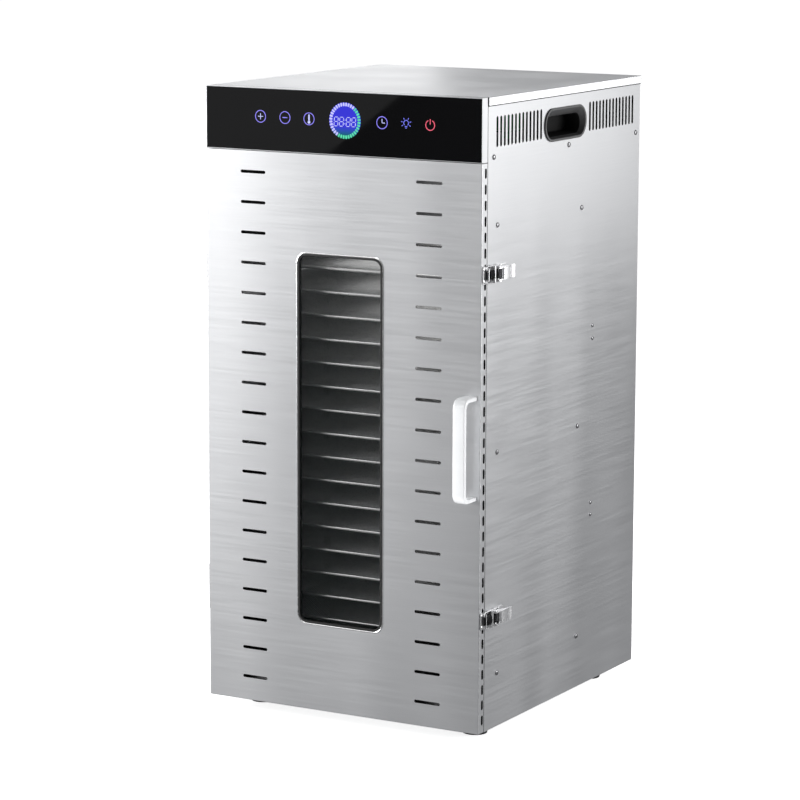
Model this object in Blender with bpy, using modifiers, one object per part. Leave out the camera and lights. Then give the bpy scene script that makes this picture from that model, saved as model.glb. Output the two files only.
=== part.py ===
"""Sixteen-tray stainless-steel food dehydrator, built from its separate pieces.

Metres, +Z up. The door faces -Y, its hinges are on the -X side and its latches on the +X
side. Every piece is drawn in the cabinet's own frame: X from the middle of the width, Y back
from the plane where the door meets the cabinet, Z up from the floor. One empty carries them
all and moves the origin under the middle of the whole object's bounding box.
"""

import math

import bmesh
import bpy
from mathutils import Matrix, Vector

# Driving dimensions
WIDTH = 0.400  # cabinet, door and control panel, without hinges and latches
BODY_HEIGHT = 0.800  # without the feet
CABINET_DEPTH = 0.430  # behind the door
DOOR_DEPTH = 0.015  # door and control panel, in front of the cabinet
PANEL_HEIGHT = 0.080  # control panel, above the door
FOOT_HEIGHT = 0.018
SHEET = 0.001  # steel sheet
GAP = 0.0003  # between two pieces that touch

# Levels and sides that follow from them
SIDE = WIDTH / 2
INNER_SIDE = SIDE - SHEET - GAP  # what fits between the side panels
BOTTOM = FOOT_HEIGHT
TOP = BOTTOM + BODY_HEIGHT
DOOR_TOP = TOP - PANEL_HEIGHT - GAP
DOOR_BACK = -0.0012
BAY_FLOOR = DOOR_TOP - 0.0017  # underside of the shelf below the electronics
BACK_PANEL = CABINET_DEPTH - SHEET - GAP  # its inner face

# Trays
TRAYS = 16
TRAY_PITCH = 0.0305
FIRST_TRAY = BOTTOM + 0.1125
TRAY_WIDTH = 0.370
TRAY_LENGTH = 0.275
TRAY_RIM = 0.0036
TRAY_FLOOR = 0.0006  # woven wire, drawn as a sheet of the same weight
TRAY_FRONT = 0.014
LEDGE_TIP = 0.177  # from the middle
RACK_FRONT, RACK_BACK = 0.022, 0.272
FRAME_OPENING = (0.1875, 0.060, 0.712)  # half width, low edge, high edge

# Door
WINDOW_WIDTH, WINDOW_HEIGHT, WINDOW_CORNER = 0.122, 0.477, 0.012
WINDOW_MIDDLE = (-0.002, BOTTOM + 0.354)
GASKET_WALL = 0.0018
GASKET_LIP = 0.0009
SEAT_INSET = 0.0009  # of the glass's seat from the gasket's outside
GASKET_BACK = -0.0090
GLASS_BACK = -0.0103
GLASS_THICKNESS = 0.003
DOOR_SLOTS, DOOR_SLOT_PITCH, FIRST_DOOR_SLOT = 18, 0.03889, BOTTOM + 0.0318
DOOR_SLOT = (0.037, 0.004)
DOOR_SLOT_REACH = 0.1281  # of a column from the window's middle
EDGE_SLOTS, EDGE_SLOT_PITCH, FIRST_EDGE_SLOT = 36, 0.01973, BOTTOM + 0.0167
EDGE_SLOT = (0.012, 0.005)
EDGE_SLOT_MIDDLE = -0.0055
HANDLE_MIDDLE = (SIDE - 0.013, BOTTOM + 0.3655)
HANDLE_HEIGHT, HANDLE_REACH, HANDLE_WIDTH = 0.132, 0.033, 0.017
HANDLE_STRAP, HANDLE_CORNER = 0.005, 0.013

# Hinges and latches, at two heights
FITTING_LEVELS = {"upper": BOTTOM + 0.582, "lower": BOTTOM + 0.1455}
HINGE_AXIS = Vector((-SIDE - 0.0045, -GAP, 0))
HINGE_BARREL, HINGE_PIN, HINGE_HEIGHT = 0.0032, 0.0015, 0.060
LEAF = 0.001
LATCH_PLATE = 0.0012
LEVER_AXIS = Vector((SIDE + 0.0065, 0.016, 0))
BAIL_AXIS = LEVER_AXIS + Vector((-0.0025, 0.010, 0))
BAIL_BAR = (SIDE + 0.0036, -0.0076)  # middle of the bar that holds the keeper
LATCH_PIN = 0.0012
LEVER_TIP = 0.054
LEVER_LIFT = 0.0115  # of the lever's tab from the side panel

# Side panels
VENT_GROUPS = ((0.0238, 13, 0.0098), (0.2797, 14, 0.00977))  # first slot, count, pitch
VENT_SLOT = (0.0036, 0.037)
VENT_LEVEL = BOTTOM + 0.7565
CUP_MIDDLE = (0.209, BOTTOM + 0.7532)
CUP_LENGTH, CUP_HEIGHT, CUP_DEPTH, CUP_LIP, CUP_WALL = 0.117, 0.0425, 0.030, 0.003, 0.0015
COVER_FLANGE = 0.010
COVER_SIDE = SIDE + GAP + SHEET

# Fans, behind the duct plate
FAN_LEVELS = {"upper": BOTTOM + 0.472, "lower": BOTTOM + 0.236}
DUCT_PLATE = 0.292
GRILLE_RINGS = ((0.018, 0.044), (0.050, 0.080))
GRILLE_SECTORS = 8
ROTOR_MIDDLE = 0.312
ROTOR_HUB, ROTOR_TIP, ROTOR_BLADES = 0.016, 0.076, 5
SHAFT = 0.003
MOTOR_FRONT, MOTOR_BACK, MOTOR_RADIUS = 0.336, 0.376, 0.034
HEATER_TUBE, HEATER_SIDE, HEATER_DEPTH = 0.004, 0.130, 0.326
PROBE = (0.190, BOTTOM + 0.632)  # across and up, in the duct plate

# Control panel
CONTROL_GLASS = 0.003
PANEL_MIDDLE = (DOOR_TOP + TOP) / 2
PANEL_RIM = 0.0008
SYMBOL_LEVEL = PANEL_MIDDLE + 0.0037
DISPLAY_MIDDLE, DISPLAY_RADIUS = 0.0055, 0.0232
ICONS = (-0.1184, -0.0822, -0.0468, 0.0588, 0.0931, 0.1271)

# Mains inlet, in the back panel
INLET = Vector((-0.150, 0, BOTTOM + 0.752))
INLET_FLANGE, INLET_BODY, INLET_RECESS = (0.032, 0.026), (0.0272, 0.0200), (0.0242, 0.0164)

FEET = {
    f"foot_{end}_{side}": (sign * 0.1595, depth)
    for end, depth in (("front", 0.052), ("rear", 0.378))
    for side, sign in (("left", -1), ("right", 1))
}
FOOT_TOP_RADIUS, FOOT_BOTTOM_RADIUS = 0.019, 0.016

FINISHES = {  # colour, roughness, metallic
    "brushed_steel": ((0.62, 0.63, 0.64), 0.32, 1.0),
    "galvanised_steel": ((0.50, 0.51, 0.52), 0.5, 1.0),
    "chrome": ((0.80, 0.80, 0.80), 0.12, 1.0),
    "black_glass": ((0.004, 0.004, 0.005), 0.05, 0.0),
    "clear_glass": ((0.90, 0.92, 0.92), 0.02, 0.0),
    "white_plastic": ((0.82, 0.83, 0.84), 0.25, 0.0),
    "black_plastic": ((0.012, 0.012, 0.013), 0.45, 0.0),
    "black_rubber": ((0.015, 0.015, 0.015), 0.75, 0.0),
    "circuit_board": ((0.02, 0.14, 0.05), 0.5, 0.0),
    "heater_steel": ((0.20, 0.19, 0.18), 0.45, 1.0),
}

parts = None
cutters = None


def start_scene():
    """Empties the scene and makes the two collections."""
    global parts, cutters
    for obj in list(bpy.data.objects):
        bpy.data.objects.remove(obj, do_unlink=True)
    parts = bpy.data.collections.new("food_dehydrator")
    cutters = bpy.data.collections.new("cutters")
    for collection in (parts, cutters):
        bpy.context.scene.collection.children.link(collection)


def finish_material(name):
    """The named finish as a Principled BSDF material, made once."""
    if name in bpy.data.materials:
        return bpy.data.materials[name]
    colour, roughness, metallic = FINISHES[name]
    made = bpy.data.materials.new(name)
    made.use_nodes = True
    shader = made.node_tree.nodes["Principled BSDF"]
    shader.inputs["Base Color"].default_value = (*colour, 1)
    shader.inputs["Roughness"].default_value = roughness
    shader.inputs["Metallic"].default_value = metallic
    return made


def hang(obj, parent):
    """Parents obj to an empty and leaves its location in the cabinet's frame."""
    obj.parent = parent
    if parent.parent:
        obj.matrix_parent_inverse = Matrix.Translation(-parent.location)


def new_axis(name, place, parent):
    empty = bpy.data.objects.new(name, None)
    empty.location = place
    parts.objects.link(empty)
    if parent:
        hang(empty, parent)
    return empty


def piece(name, bm, finish, parent, origin=(0, 0, 0)):
    """Makes one named part from a bmesh, with its origin at the given point."""
    bmesh.ops.recalc_face_normals(bm, faces=bm.faces)
    bmesh.ops.translate(bm, verts=bm.verts, vec=-Vector(origin))
    mesh = bpy.data.meshes.new(name)
    bm.to_mesh(mesh)
    bm.free()
    mesh.materials.append(finish_material(finish))
    obj = bpy.data.objects.new(name, mesh)
    obj.location = origin
    parts.objects.link(obj)
    hang(obj, parent)
    return obj


def boolean(obj, bm, operation):
    """Cuts a bmesh from a part, or joins it on, with a Boolean and a hidden helper."""
    bmesh.ops.recalc_face_normals(bm, faces=bm.faces)
    name = f"{obj.name}_{operation.lower()}_{len(obj.modifiers)}"
    mesh = bpy.data.meshes.new(name)
    bm.to_mesh(mesh)
    bm.free()
    helper = bpy.data.objects.new(name, mesh)
    helper.hide_render = True
    helper.display_type = "WIRE"
    cutters.objects.link(helper)
    hang(helper, obj.parent)
    modifier = obj.modifiers.new(name, "BOOLEAN")
    modifier.operation = operation
    modifier.solver = "EXACT"
    modifier.object = helper


def cut(obj, bm):
    boolean(obj, bm, "DIFFERENCE")


def join(obj, bm):
    boolean(obj, bm, "UNION")


def add_box(bm, low, high):
    low, high = Vector(low), Vector(high)
    size = Matrix.Diagonal((*(high - low), 1))
    bmesh.ops.create_cube(bm, size=1, matrix=Matrix.Translation((low + high) / 2) @ size)


def boxes(*corners):
    """A bmesh of one or more separate boxes, each given by its low and high corners."""
    bm = bmesh.new()
    for low, high in corners:
        add_box(bm, low, high)
    return bm


def add_cylinder(bm, start, axis, length, radius, segments=16):
    """A cylinder from a start point along +X, +Y or +Z."""
    along = Vector({"X": (1, 0, 0), "Y": (0, 1, 0), "Z": (0, 0, 1)}[axis])
    turn = Vector((0, 0, 1)).rotation_difference(along).to_matrix().to_4x4()
    middle = Matrix.Translation(Vector(start) + along * length / 2)
    bmesh.ops.create_cone(
        bm, cap_ends=True, segments=segments, radius1=radius, radius2=radius,
        depth=length, matrix=middle @ turn,
    )


def cylinders(*rows, segments=16):
    bm = bmesh.new()
    for start, axis, length, radius in rows:
        add_cylinder(bm, start, axis, length, radius, segments)
    return bm


def add_prism(bm, outline, start, thickness, plane):
    """A flat outline pushed through a thickness. plane is "XY", "XZ" or "YZ"."""
    first, second = ("XYZ".index(letter) for letter in plane)
    through = 3 - first - second
    corners = []
    for u, v in outline:
        point = [0, 0, 0]
        point[first], point[second], point[through] = u, v, start
        corners.append(bm.verts.new(point))
    face = bm.faces.new(corners)
    top = bmesh.ops.extrude_face_region(bm, geom=[face])["geom"]
    step = [0, 0, 0]
    step[through] = thickness
    moved = [item for item in top if isinstance(item, bmesh.types.BMVert)]
    bmesh.ops.translate(bm, verts=moved, vec=step)


def prisms(*rows):
    bm = bmesh.new()
    for outline, start, thickness, plane in rows:
        add_prism(bm, outline, start, thickness, plane)
    return bm


def rounded(middle, width, height, radius, steps=3):
    """Outline of a rectangle with round corners, steps edges to a corner."""
    points = []
    for quarter, (right, up) in enumerate(((1, 1), (-1, 1), (-1, -1), (1, -1))):
        centre = (
            middle[0] + right * (width / 2 - radius),
            middle[1] + up * (height / 2 - radius),
        )
        for step in range(steps + 1):
            angle = math.pi / 2 * (quarter + step / steps)
            points.append(
                (centre[0] + radius * math.cos(angle), centre[1] + radius * math.sin(angle))
            )
    return points


def rectangle(middle, width, height):
    u, v = middle
    return [
        (u - width / 2, v - height / 2), (u + width / 2, v - height / 2),
        (u + width / 2, v + height / 2), (u - width / 2, v + height / 2),
    ]


def arc(middle, radius, start, end, steps):
    """Points on an arc, with its angles in degrees."""
    return [
        (
            middle[0] + radius * math.cos(math.radians(start + (end - start) * n / steps)),
            middle[1] + radius * math.sin(math.radians(start + (end - start) * n / steps)),
        )
        for n in range(steps + 1)
    ]


# Cabinet


def make_base_pan(root):
    flange = 0.015
    front, back = SHEET + GAP, BACK_PANEL - GAP
    pan = boxes(((-INNER_SIDE, front, BOTTOM), (INNER_SIDE, back, BOTTOM + flange)))
    pan = piece("base_pan", pan, "galvanised_steel", root)
    inside = INNER_SIDE - SHEET
    cut(pan, boxes((
        (-inside, front - SHEET, BOTTOM + SHEET), (inside, back + SHEET, BOTTOM + 2 * flange)
    )))


def make_side_panel(name, sign, root):
    """A flat panel with the vent slots and the opening for the carrying handle."""
    outer, inner = sign * SIDE, sign * (SIDE - SHEET)
    low, high = min(outer, inner), max(outer, inner)
    panel = boxes(((low, 0, BOTTOM), (high, CABINET_DEPTH - GAP, TOP - SHEET - GAP)))
    panel = piece(name, panel, "brushed_steel", root)
    start, depth = low - SHEET, 3 * SHEET
    slots = bmesh.new()
    for first, count, pitch in VENT_GROUPS:
        for n in range(count):
            slot = rectangle((first + n * pitch, VENT_LEVEL), *VENT_SLOT)
            add_prism(slots, slot, start, depth, "YZ")
    length, height = CUP_LENGTH - 2 * CUP_LIP + 2 * GAP, CUP_HEIGHT - 2 * CUP_LIP + 2 * GAP
    add_prism(slots, rounded(CUP_MIDDLE, length, height, height / 2 - 0.0005), start, depth, "YZ")
    cut(panel, slots)


def make_carry_handle(name, sign, root):
    """A moulded cup that the fingers go into, with a lip on the panel's outer face."""
    lip = 0.0015
    lip_start = sign * (SIDE + GAP) if sign > 0 else sign * (SIDE + GAP) - lip
    length, height = CUP_LENGTH - 2 * CUP_LIP, CUP_HEIGHT - 2 * CUP_LIP
    cup = prisms(
        (rounded(CUP_MIDDLE, CUP_LENGTH, CUP_HEIGHT, CUP_HEIGHT / 2 - 0.0005), lip_start, lip, "YZ")
    )
    cup = piece(name, cup, "black_plastic", root)
    floor = sign * (SIDE - CUP_DEPTH)
    outside = sign * (SIDE + GAP + lip / 2)
    body = rounded(CUP_MIDDLE, length, height, height / 2 - 0.0005)
    join(cup, prisms((body, floor, outside - floor, "YZ")))
    length, height = length - 2 * CUP_WALL, height - 2 * CUP_WALL
    hollow = rounded(CUP_MIDDLE, length, height, height / 2 - 0.0005)
    bottom = floor + sign * CUP_WALL
    cut(cup, prisms((hollow, bottom, outside + sign * lip - bottom, "YZ")))


def make_back_panel(root):
    """The rear sheet, with an intake grille behind each fan and the inlet's opening."""
    panel = boxes((
        (-INNER_SIDE, BACK_PANEL, BOTTOM), (INNER_SIDE, BACK_PANEL + SHEET, TOP - SHEET - GAP)
    ))
    panel = piece("back_panel", panel, "brushed_steel", root)
    rows, pitch, height, reach = 9, 0.016, 0.0036, 0.080
    openings = bmesh.new()
    for level in FAN_LEVELS.values():
        for row in range(rows):
            rise = (row - (rows - 1) / 2) * pitch
            length = 2 * math.sqrt(reach**2 - rise**2)
            slot = rectangle((0, level + rise), length, height)
            add_prism(openings, slot, BACK_PANEL - SHEET, 3 * SHEET, "XZ")
    width, tall = (side + 2 * GAP for side in INLET_BODY)
    opening = rectangle((INLET.x, INLET.z), width, tall)
    add_prism(openings, opening, BACK_PANEL - SHEET, 3 * SHEET, "XZ")
    cut(panel, openings)


def make_top_cover(root):
    """The lid, with a flange down over the sides and the back."""
    back = CABINET_DEPTH + SHEET
    cover = boxes(((-COVER_SIDE, 0, TOP - COVER_FLANGE), (COVER_SIDE, back, TOP)))
    cover = piece("top_cover", cover, "brushed_steel", root)
    inside = COVER_SIDE - SHEET
    low = TOP - 2 * COVER_FLANGE
    cut(cover, boxes(((-inside, -SHEET, low), (inside, CABINET_DEPTH, TOP - SHEET))))


def make_front_frame(root):
    """The flat frame that the door closes on."""
    half, low, high = FRAME_OPENING
    frame = boxes(((-INNER_SIDE, 0, BOTTOM), (INNER_SIDE, SHEET, BAY_FLOOR - GAP)))
    frame = piece("front_frame", frame, "brushed_steel", root)
    cut(frame, boxes(((-half, -SHEET, low), (half, 2 * SHEET, high))))


def make_bay_floor(root):
    back = BACK_PANEL - GAP
    shelf = boxes(((-INNER_SIDE, 0, BAY_FLOOR), (INNER_SIDE, back, BAY_FLOOR + SHEET)))
    piece("bay_floor", shelf, "galvanised_steel", root)


def make_foot(name, place, root):
    """A turned rubber foot: its profile runs down the outside and spins about the middle."""
    top = FOOT_HEIGHT - GAP
    edge = 0.0015
    profile = bmesh.new()
    outline = (
        (0, top), (FOOT_TOP_RADIUS, top), (FOOT_TOP_RADIUS, top - 0.004),
        (FOOT_BOTTOM_RADIUS, edge), (FOOT_BOTTOM_RADIUS - edge, 0), (0, 0),
    )
    points = [profile.verts.new((x, 0, z)) for x, z in outline]
    for first, second in zip(points, points[1:]):
        profile.edges.new((first, second))
    foot = piece(name, profile, "black_rubber", root)
    foot.location = (*place, 0)
    screw = foot.modifiers.new("turn", "SCREW")
    screw.steps = screw.render_steps = 20
    screw.use_merge_vertices = True
    screw.merge_threshold = 0.00005


# Electronics


def make_control_fascia(root):
    """The steel pan behind the touch glass, open at the back and in front of the board."""
    low, high = DOOR_TOP + 2 * GAP, TOP
    fascia = boxes(((-SIDE, -DOOR_DEPTH, low), (SIDE, DOOR_BACK, high)))
    fascia = piece("control_fascia", fascia, "brushed_steel", root)
    rim, wall = PANEL_RIM, -DOOR_DEPTH + CONTROL_GLASS + GAP
    cut(fascia, boxes((
        (-SIDE + rim, -DOOR_DEPTH - SHEET, low + rim), (SIDE - rim, wall, high - rim)
    )))
    cut(fascia, boxes((
        (-SIDE + SHEET, wall + SHEET, low + SHEET), (SIDE - SHEET, SHEET, high - SHEET)
    )))
    half, tall = 0.150, 0.028  # the opening in front of the touch board
    cut(fascia, boxes((
        (-half, wall - SHEET, SYMBOL_LEVEL - tall), (half, wall + 2 * SHEET, SYMBOL_LEVEL + tall)
    )))


def make_control_glass(root):
    inset = PANEL_RIM + GAP
    low, high = DOOR_TOP + 2 * GAP + inset, TOP - inset
    back = -DOOR_DEPTH + CONTROL_GLASS
    glass = boxes(((-SIDE + inset, -DOOR_DEPTH, low), (SIDE - inset, back, high)))
    piece("control_glass", glass, "black_glass", root)


def make_control_board(root):
    """The touch board: six sensor pads and the round display, on a circuit board."""
    back_of_wall = -DOOR_DEPTH + CONTROL_GLASS + GAP + SHEET
    board_front, board_back = -0.0070, -0.0054
    board = boxes((
        (-0.158, board_front, SYMBOL_LEVEL - 0.024), (0.158, board_back, SYMBOL_LEVEL + 0.024)
    ))
    board = piece("control_board", board, "circuit_board", root)
    bury = 0.0004
    spacers = bmesh.new()
    for sign in (-1, 1):
        middle = sign * 0.154
        add_box(
            spacers, (middle - 0.003, back_of_wall + GAP, SYMBOL_LEVEL - 0.020),
            (middle + 0.003, board_front + bury, SYMBOL_LEVEL + 0.020),
        )
    join(board, spacers)
    front = -DOOR_DEPTH + CONTROL_GLASS + 2 * GAP
    length = board_front + bury - front
    pads = bmesh.new()
    add_cylinder(pads, (DISPLAY_MIDDLE, front, SYMBOL_LEVEL), "Y", length, DISPLAY_RADIUS, 32)
    for x in ICONS:
        add_cylinder(pads, (x, front, SYMBOL_LEVEL), "Y", length, 0.006, 8)
    join(board, pads)


def make_power_board(root):
    """The mains board on four posts, with its relays, transformer and heat sink."""
    x, y = -0.060, 0.300
    width, depth, post = 0.130, 0.090, 0.008
    low = BAY_FLOOR + SHEET + GAP + post
    high = low + 0.0016
    board = boxes(((x, y, low), (x + width, y + depth, high)))
    board = piece("power_board", board, "circuit_board", root)
    bury = 0.0004
    shapes = bmesh.new()
    for px in (x + 0.006, x + width - 0.006):
        for py in (y + 0.006, y + depth - 0.006):
            add_box(
                shapes, (px - 0.003, py - 0.003, low - post), (px + 0.003, py + 0.003, low + bury)
            )
    for left, front, size in (
        (0.012, 0.014, (0.036, 0.030, 0.028)),  # transformer
        (0.056, 0.014, (0.019, 0.015, 0.016)),  # two relays
        (0.056, 0.034, (0.019, 0.015, 0.016)),
        (0.090, 0.012, (0.028, 0.060, 0.030)),  # heat sink
        (0.012, 0.060, (0.070, 0.010, 0.012)),  # terminals
    ):
        add_box(
            shapes, (x + left, y + front, high - bury),
            (x + left + size[0], y + front + size[1], high + size[2]),
        )
    join(board, shapes)


def make_power_inlet(root):
    """A three-pin mains inlet that sits in the back panel and faces backwards."""
    face = BACK_PANEL + SHEET + GAP
    flange, deep, bury = 0.002, 0.024, 0.0005
    middle = (INLET.x, INLET.z)
    inlet = prisms((rectangle(middle, *INLET_FLANGE), face, flange, "XZ"))
    inlet = piece("power_inlet", inlet, "black_plastic", root)
    join(inlet, prisms((rectangle(middle, *INLET_BODY), face - deep, deep + bury, "XZ")))
    floor = face - 0.016
    cut(inlet, prisms((rectangle(middle, *INLET_RECESS), floor, 0.016 + 2 * flange, "XZ")))
    pins = bmesh.new()
    for x, z in ((-0.007, -0.002), (0.007, -0.002), (0, 0.003)):
        add_box(
            pins, (INLET.x + x - 0.001, floor - bury, INLET.z + z - 0.002),
            (INLET.x + x + 0.001, floor + 0.015, INLET.z + z + 0.002),
        )
    join(inlet, pins)


# Drying chamber


def tray_level(number):
    """Underside of a tray, counted from 0 at the bottom."""
    return FIRST_TRAY + number * TRAY_PITCH


def make_tray_rack(name, sign, root):
    """A side sheet with one folded ledge for each tray, drawn as a comb pushed along Y."""
    wall = INNER_SIDE - GAP
    inside = wall - SHEET
    low, high = tray_level(0) - 0.020, tray_level(TRAYS - 1) + 0.020
    outline = [(wall, low), (wall, high), (inside, high)]
    for number in reversed(range(TRAYS)):
        top = tray_level(number) - GAP
        outline += [(inside, top), (LEDGE_TIP, top)]
        outline += [(LEDGE_TIP, top - SHEET), (inside, top - SHEET)]
    outline.append((inside, low))
    outline = [(sign * x, z) for x, z in outline]
    rack = prisms((outline, RACK_FRONT, RACK_BACK - RACK_FRONT, "XZ"))
    piece(name, rack, "brushed_steel", root)


def make_trays(root):
    """Sixteen trays that share one mesh: a flat floor inside a low rim."""
    half = TRAY_WIDTH / 2
    bm = boxes(((-half, 0, 0), (half, TRAY_LENGTH, TRAY_RIM)))
    bm.faces.ensure_lookup_table()
    top = max(bm.faces, key=lambda face: face.calc_center_median().z)
    bmesh.ops.inset_region(bm, faces=[top], thickness=0.004, use_even_offset=True)
    down = Vector((0, 0, TRAY_FLOOR - TRAY_RIM))
    inner = bmesh.ops.extrude_face_region(bm, geom=[top])["geom"]
    bmesh.ops.translate(bm, verts=[v for v in inner if isinstance(v, bmesh.types.BMVert)], vec=down)
    bmesh.ops.delete(bm, geom=[top], context="FACES_ONLY")
    first = piece("tray_01", bm, "brushed_steel", root)
    first.location = (0, TRAY_FRONT, tray_level(0))
    for number in range(1, TRAYS):
        tray = bpy.data.objects.new(f"tray_{number + 1:02d}", first.data)
        tray.location = (0, TRAY_FRONT, tray_level(number))
        parts.objects.link(tray)
        hang(tray, root)


def grille_sector(level, inner, outer, start, end):
    """One opening of a fan grille: a piece of a ring."""
    steps = 3
    middle = (0, level)
    return arc(middle, outer, start, end, steps) + arc(middle, inner, end, start, steps)


def make_duct_plate(root):
    """The wall between the trays and the fans, with a pressed grille before each fan."""
    plate = boxes((
        (-INNER_SIDE, DUCT_PLATE, BOTTOM + SHEET + GAP),
        (INNER_SIDE, DUCT_PLATE + SHEET, BAY_FLOOR - GAP),
    ))
    plate = piece("duct_plate", plate, "brushed_steel", root)
    notch = 0.016
    for sign in (-1, 1):
        inner, outer = sorted((sign * (INNER_SIDE - SHEET - GAP), sign * SIDE))
        cut(plate, boxes((
            (inner, DUCT_PLATE - SHEET, BOTTOM), (outer, DUCT_PLATE + 2 * SHEET, BOTTOM + notch)
        )))
    openings = bmesh.new()
    turn = 360 / GRILLE_SECTORS
    for level in FAN_LEVELS.values():
        for number in range(GRILLE_SECTORS):
            for inner, outer in GRILLE_RINGS:
                spoke = math.degrees(0.004 / inner) / 2
                start, end = number * turn + spoke, (number + 1) * turn - spoke
                sector = grille_sector(level, inner, outer, start, end)
                add_prism(openings, sector, DUCT_PLATE - SHEET, 3 * SHEET, "XZ")
    x, z = PROBE
    add_cylinder(openings, (x, DUCT_PLATE - SHEET, z), "Y", 3 * SHEET, 0.003, 12)
    cut(plate, openings)


def make_temperature_probe(root):
    """A thin sensor that reaches into the chamber through the duct plate."""
    x, z = PROBE
    probe = cylinders(((x, 0.262, z), "Y", 0.040, 0.0025), segments=12)
    probe = piece("temperature_probe", probe, "chrome", root)
    join(probe, cylinders(((x, DUCT_PLATE - GAP - 0.003, z), "Y", 0.003, 0.006), segments=12))


def make_chamber_lamp(root):
    """The light under the chamber's ceiling: a housing with a lens below it."""
    top = BAY_FLOOR - GAP
    lamp = boxes(((-0.032, 0.040, top - 0.010), (0.032, 0.072, top)))
    lamp = piece("chamber_lamp", lamp, "white_plastic", root)
    join(lamp, boxes(((-0.028, 0.044, top - 0.016), (0.028, 0.068, top - 0.0095))))  # lens


def make_fan_motor(name, level, root):
    """The motor, its shaft and the cross of arms that holds it on the duct plate."""
    length = MOTOR_BACK - MOTOR_FRONT
    motor = cylinders(((0, MOTOR_FRONT, level), "Y", length, MOTOR_RADIUS), segments=20)
    motor = piece(name, motor, "galvanised_steel", root)
    tip = ROTOR_MIDDLE - 0.010
    length = MOTOR_FRONT + 0.002 - tip
    join(motor, cylinders(((0, tip, level), "Y", length, SHAFT), segments=12))
    reach, half, arm = 0.092, 0.007, MOTOR_FRONT + 0.004
    join(motor, boxes(((-reach, arm, level - half), (reach, arm + 0.002, level + half))))
    legs = bmesh.new()
    for sign in (-1, 1):
        low, high = sorted((sign * reach, sign * (reach - 0.002)))
        add_box(
            legs, (low, DUCT_PLATE + SHEET + GAP, level - half + 0.0005),
            (high, arm + 0.001, level + half - 0.0005),
        )
    join(motor, legs)


def make_fan_rotor(name, level, axis):
    """A hub with five pitched blades, bored for the shaft with a running gap."""
    hub_front, hub_length = ROTOR_MIDDLE - 0.010, 0.020
    centre = Vector((0, ROTOR_MIDDLE, level))
    start = (0, hub_front + 0.0005, level)
    hub = cylinders((start, "Y", hub_length, ROTOR_HUB), segments=20)
    rotor = piece(name, hub, "black_plastic", axis)
    blades = bmesh.new()
    length, chord, thickness = ROTOR_TIP - ROTOR_HUB + 0.003, 0.030, 0.0016
    pitch = math.radians(28)
    for number in range(ROTOR_BLADES):
        made = bmesh.ops.create_cube(blades, size=1)["verts"]
        shape = Matrix.Diagonal((length, thickness, chord, 1))
        out = Matrix.Translation((ROTOR_TIP - length / 2, 0, 0))
        tilt = Matrix.Rotation(pitch, 4, "X")
        round_axis = Matrix.Rotation(2 * math.pi * number / ROTOR_BLADES, 4, "Y")
        place = Matrix.Translation(centre) @ round_axis @ out @ tilt @ shape
        bmesh.ops.transform(blades, verts=made, matrix=place)
    join(rotor, blades)
    bore = cylinders(((0, hub_front - SHEET, level), "Y", 0.030, SHAFT + GAP), segments=12)
    cut(rotor, bore)


def make_heater(root):
    """One tubular heater: down beside both fans, across and up again, to a terminal block."""
    top, low, bend = BOTTOM + 0.660, BOTTOM + 0.110, 0.030
    inner = 0.045
    side = HEATER_SIDE
    path = [(-inner, top), (-inner, top - 0.012)]
    path += arc((-side + bend, top - 0.042), bend, 90, 180, 4)
    path += arc((-side + bend, low + bend), bend, 180, 270, 4)
    path += arc((side - bend, low + bend), bend, 270, 360, 4)
    path += arc((side - bend, top - 0.042), bend, 0, 90, 4)
    path += [(inner, top - 0.012), (inner, top)]
    curve = bpy.data.curves.new("heater_path", "CURVE")
    curve.dimensions = "3D"
    curve.bevel_depth = HEATER_TUBE
    curve.bevel_resolution = 2
    curve.use_fill_caps = True
    spline = curve.splines.new("POLY")
    spline.points.add(len(path) - 1)
    for point, (x, z) in zip(spline.points, path):
        point.co = (x, HEATER_DEPTH, z, 1)
    tube = bpy.data.objects.new("heater_path", curve)
    cutters.objects.link(tube)
    graph = bpy.context.evaluated_depsgraph_get()
    bm = bmesh.new()
    bm.from_mesh(bpy.data.meshes.new_from_object(tube.evaluated_get(graph)))
    bmesh.ops.remove_doubles(bm, verts=bm.verts, dist=0.00001)
    bpy.data.objects.remove(tube, do_unlink=True)
    heater = piece("heater_element", bm, "heater_steel", root)
    block = (
        (-inner - 0.015, DUCT_PLATE + SHEET + GAP, top - 0.006),
        (inner + 0.015, HEATER_DEPTH + 0.008, top + 0.012),
    )
    join(heater, boxes(block))


# Door


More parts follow.
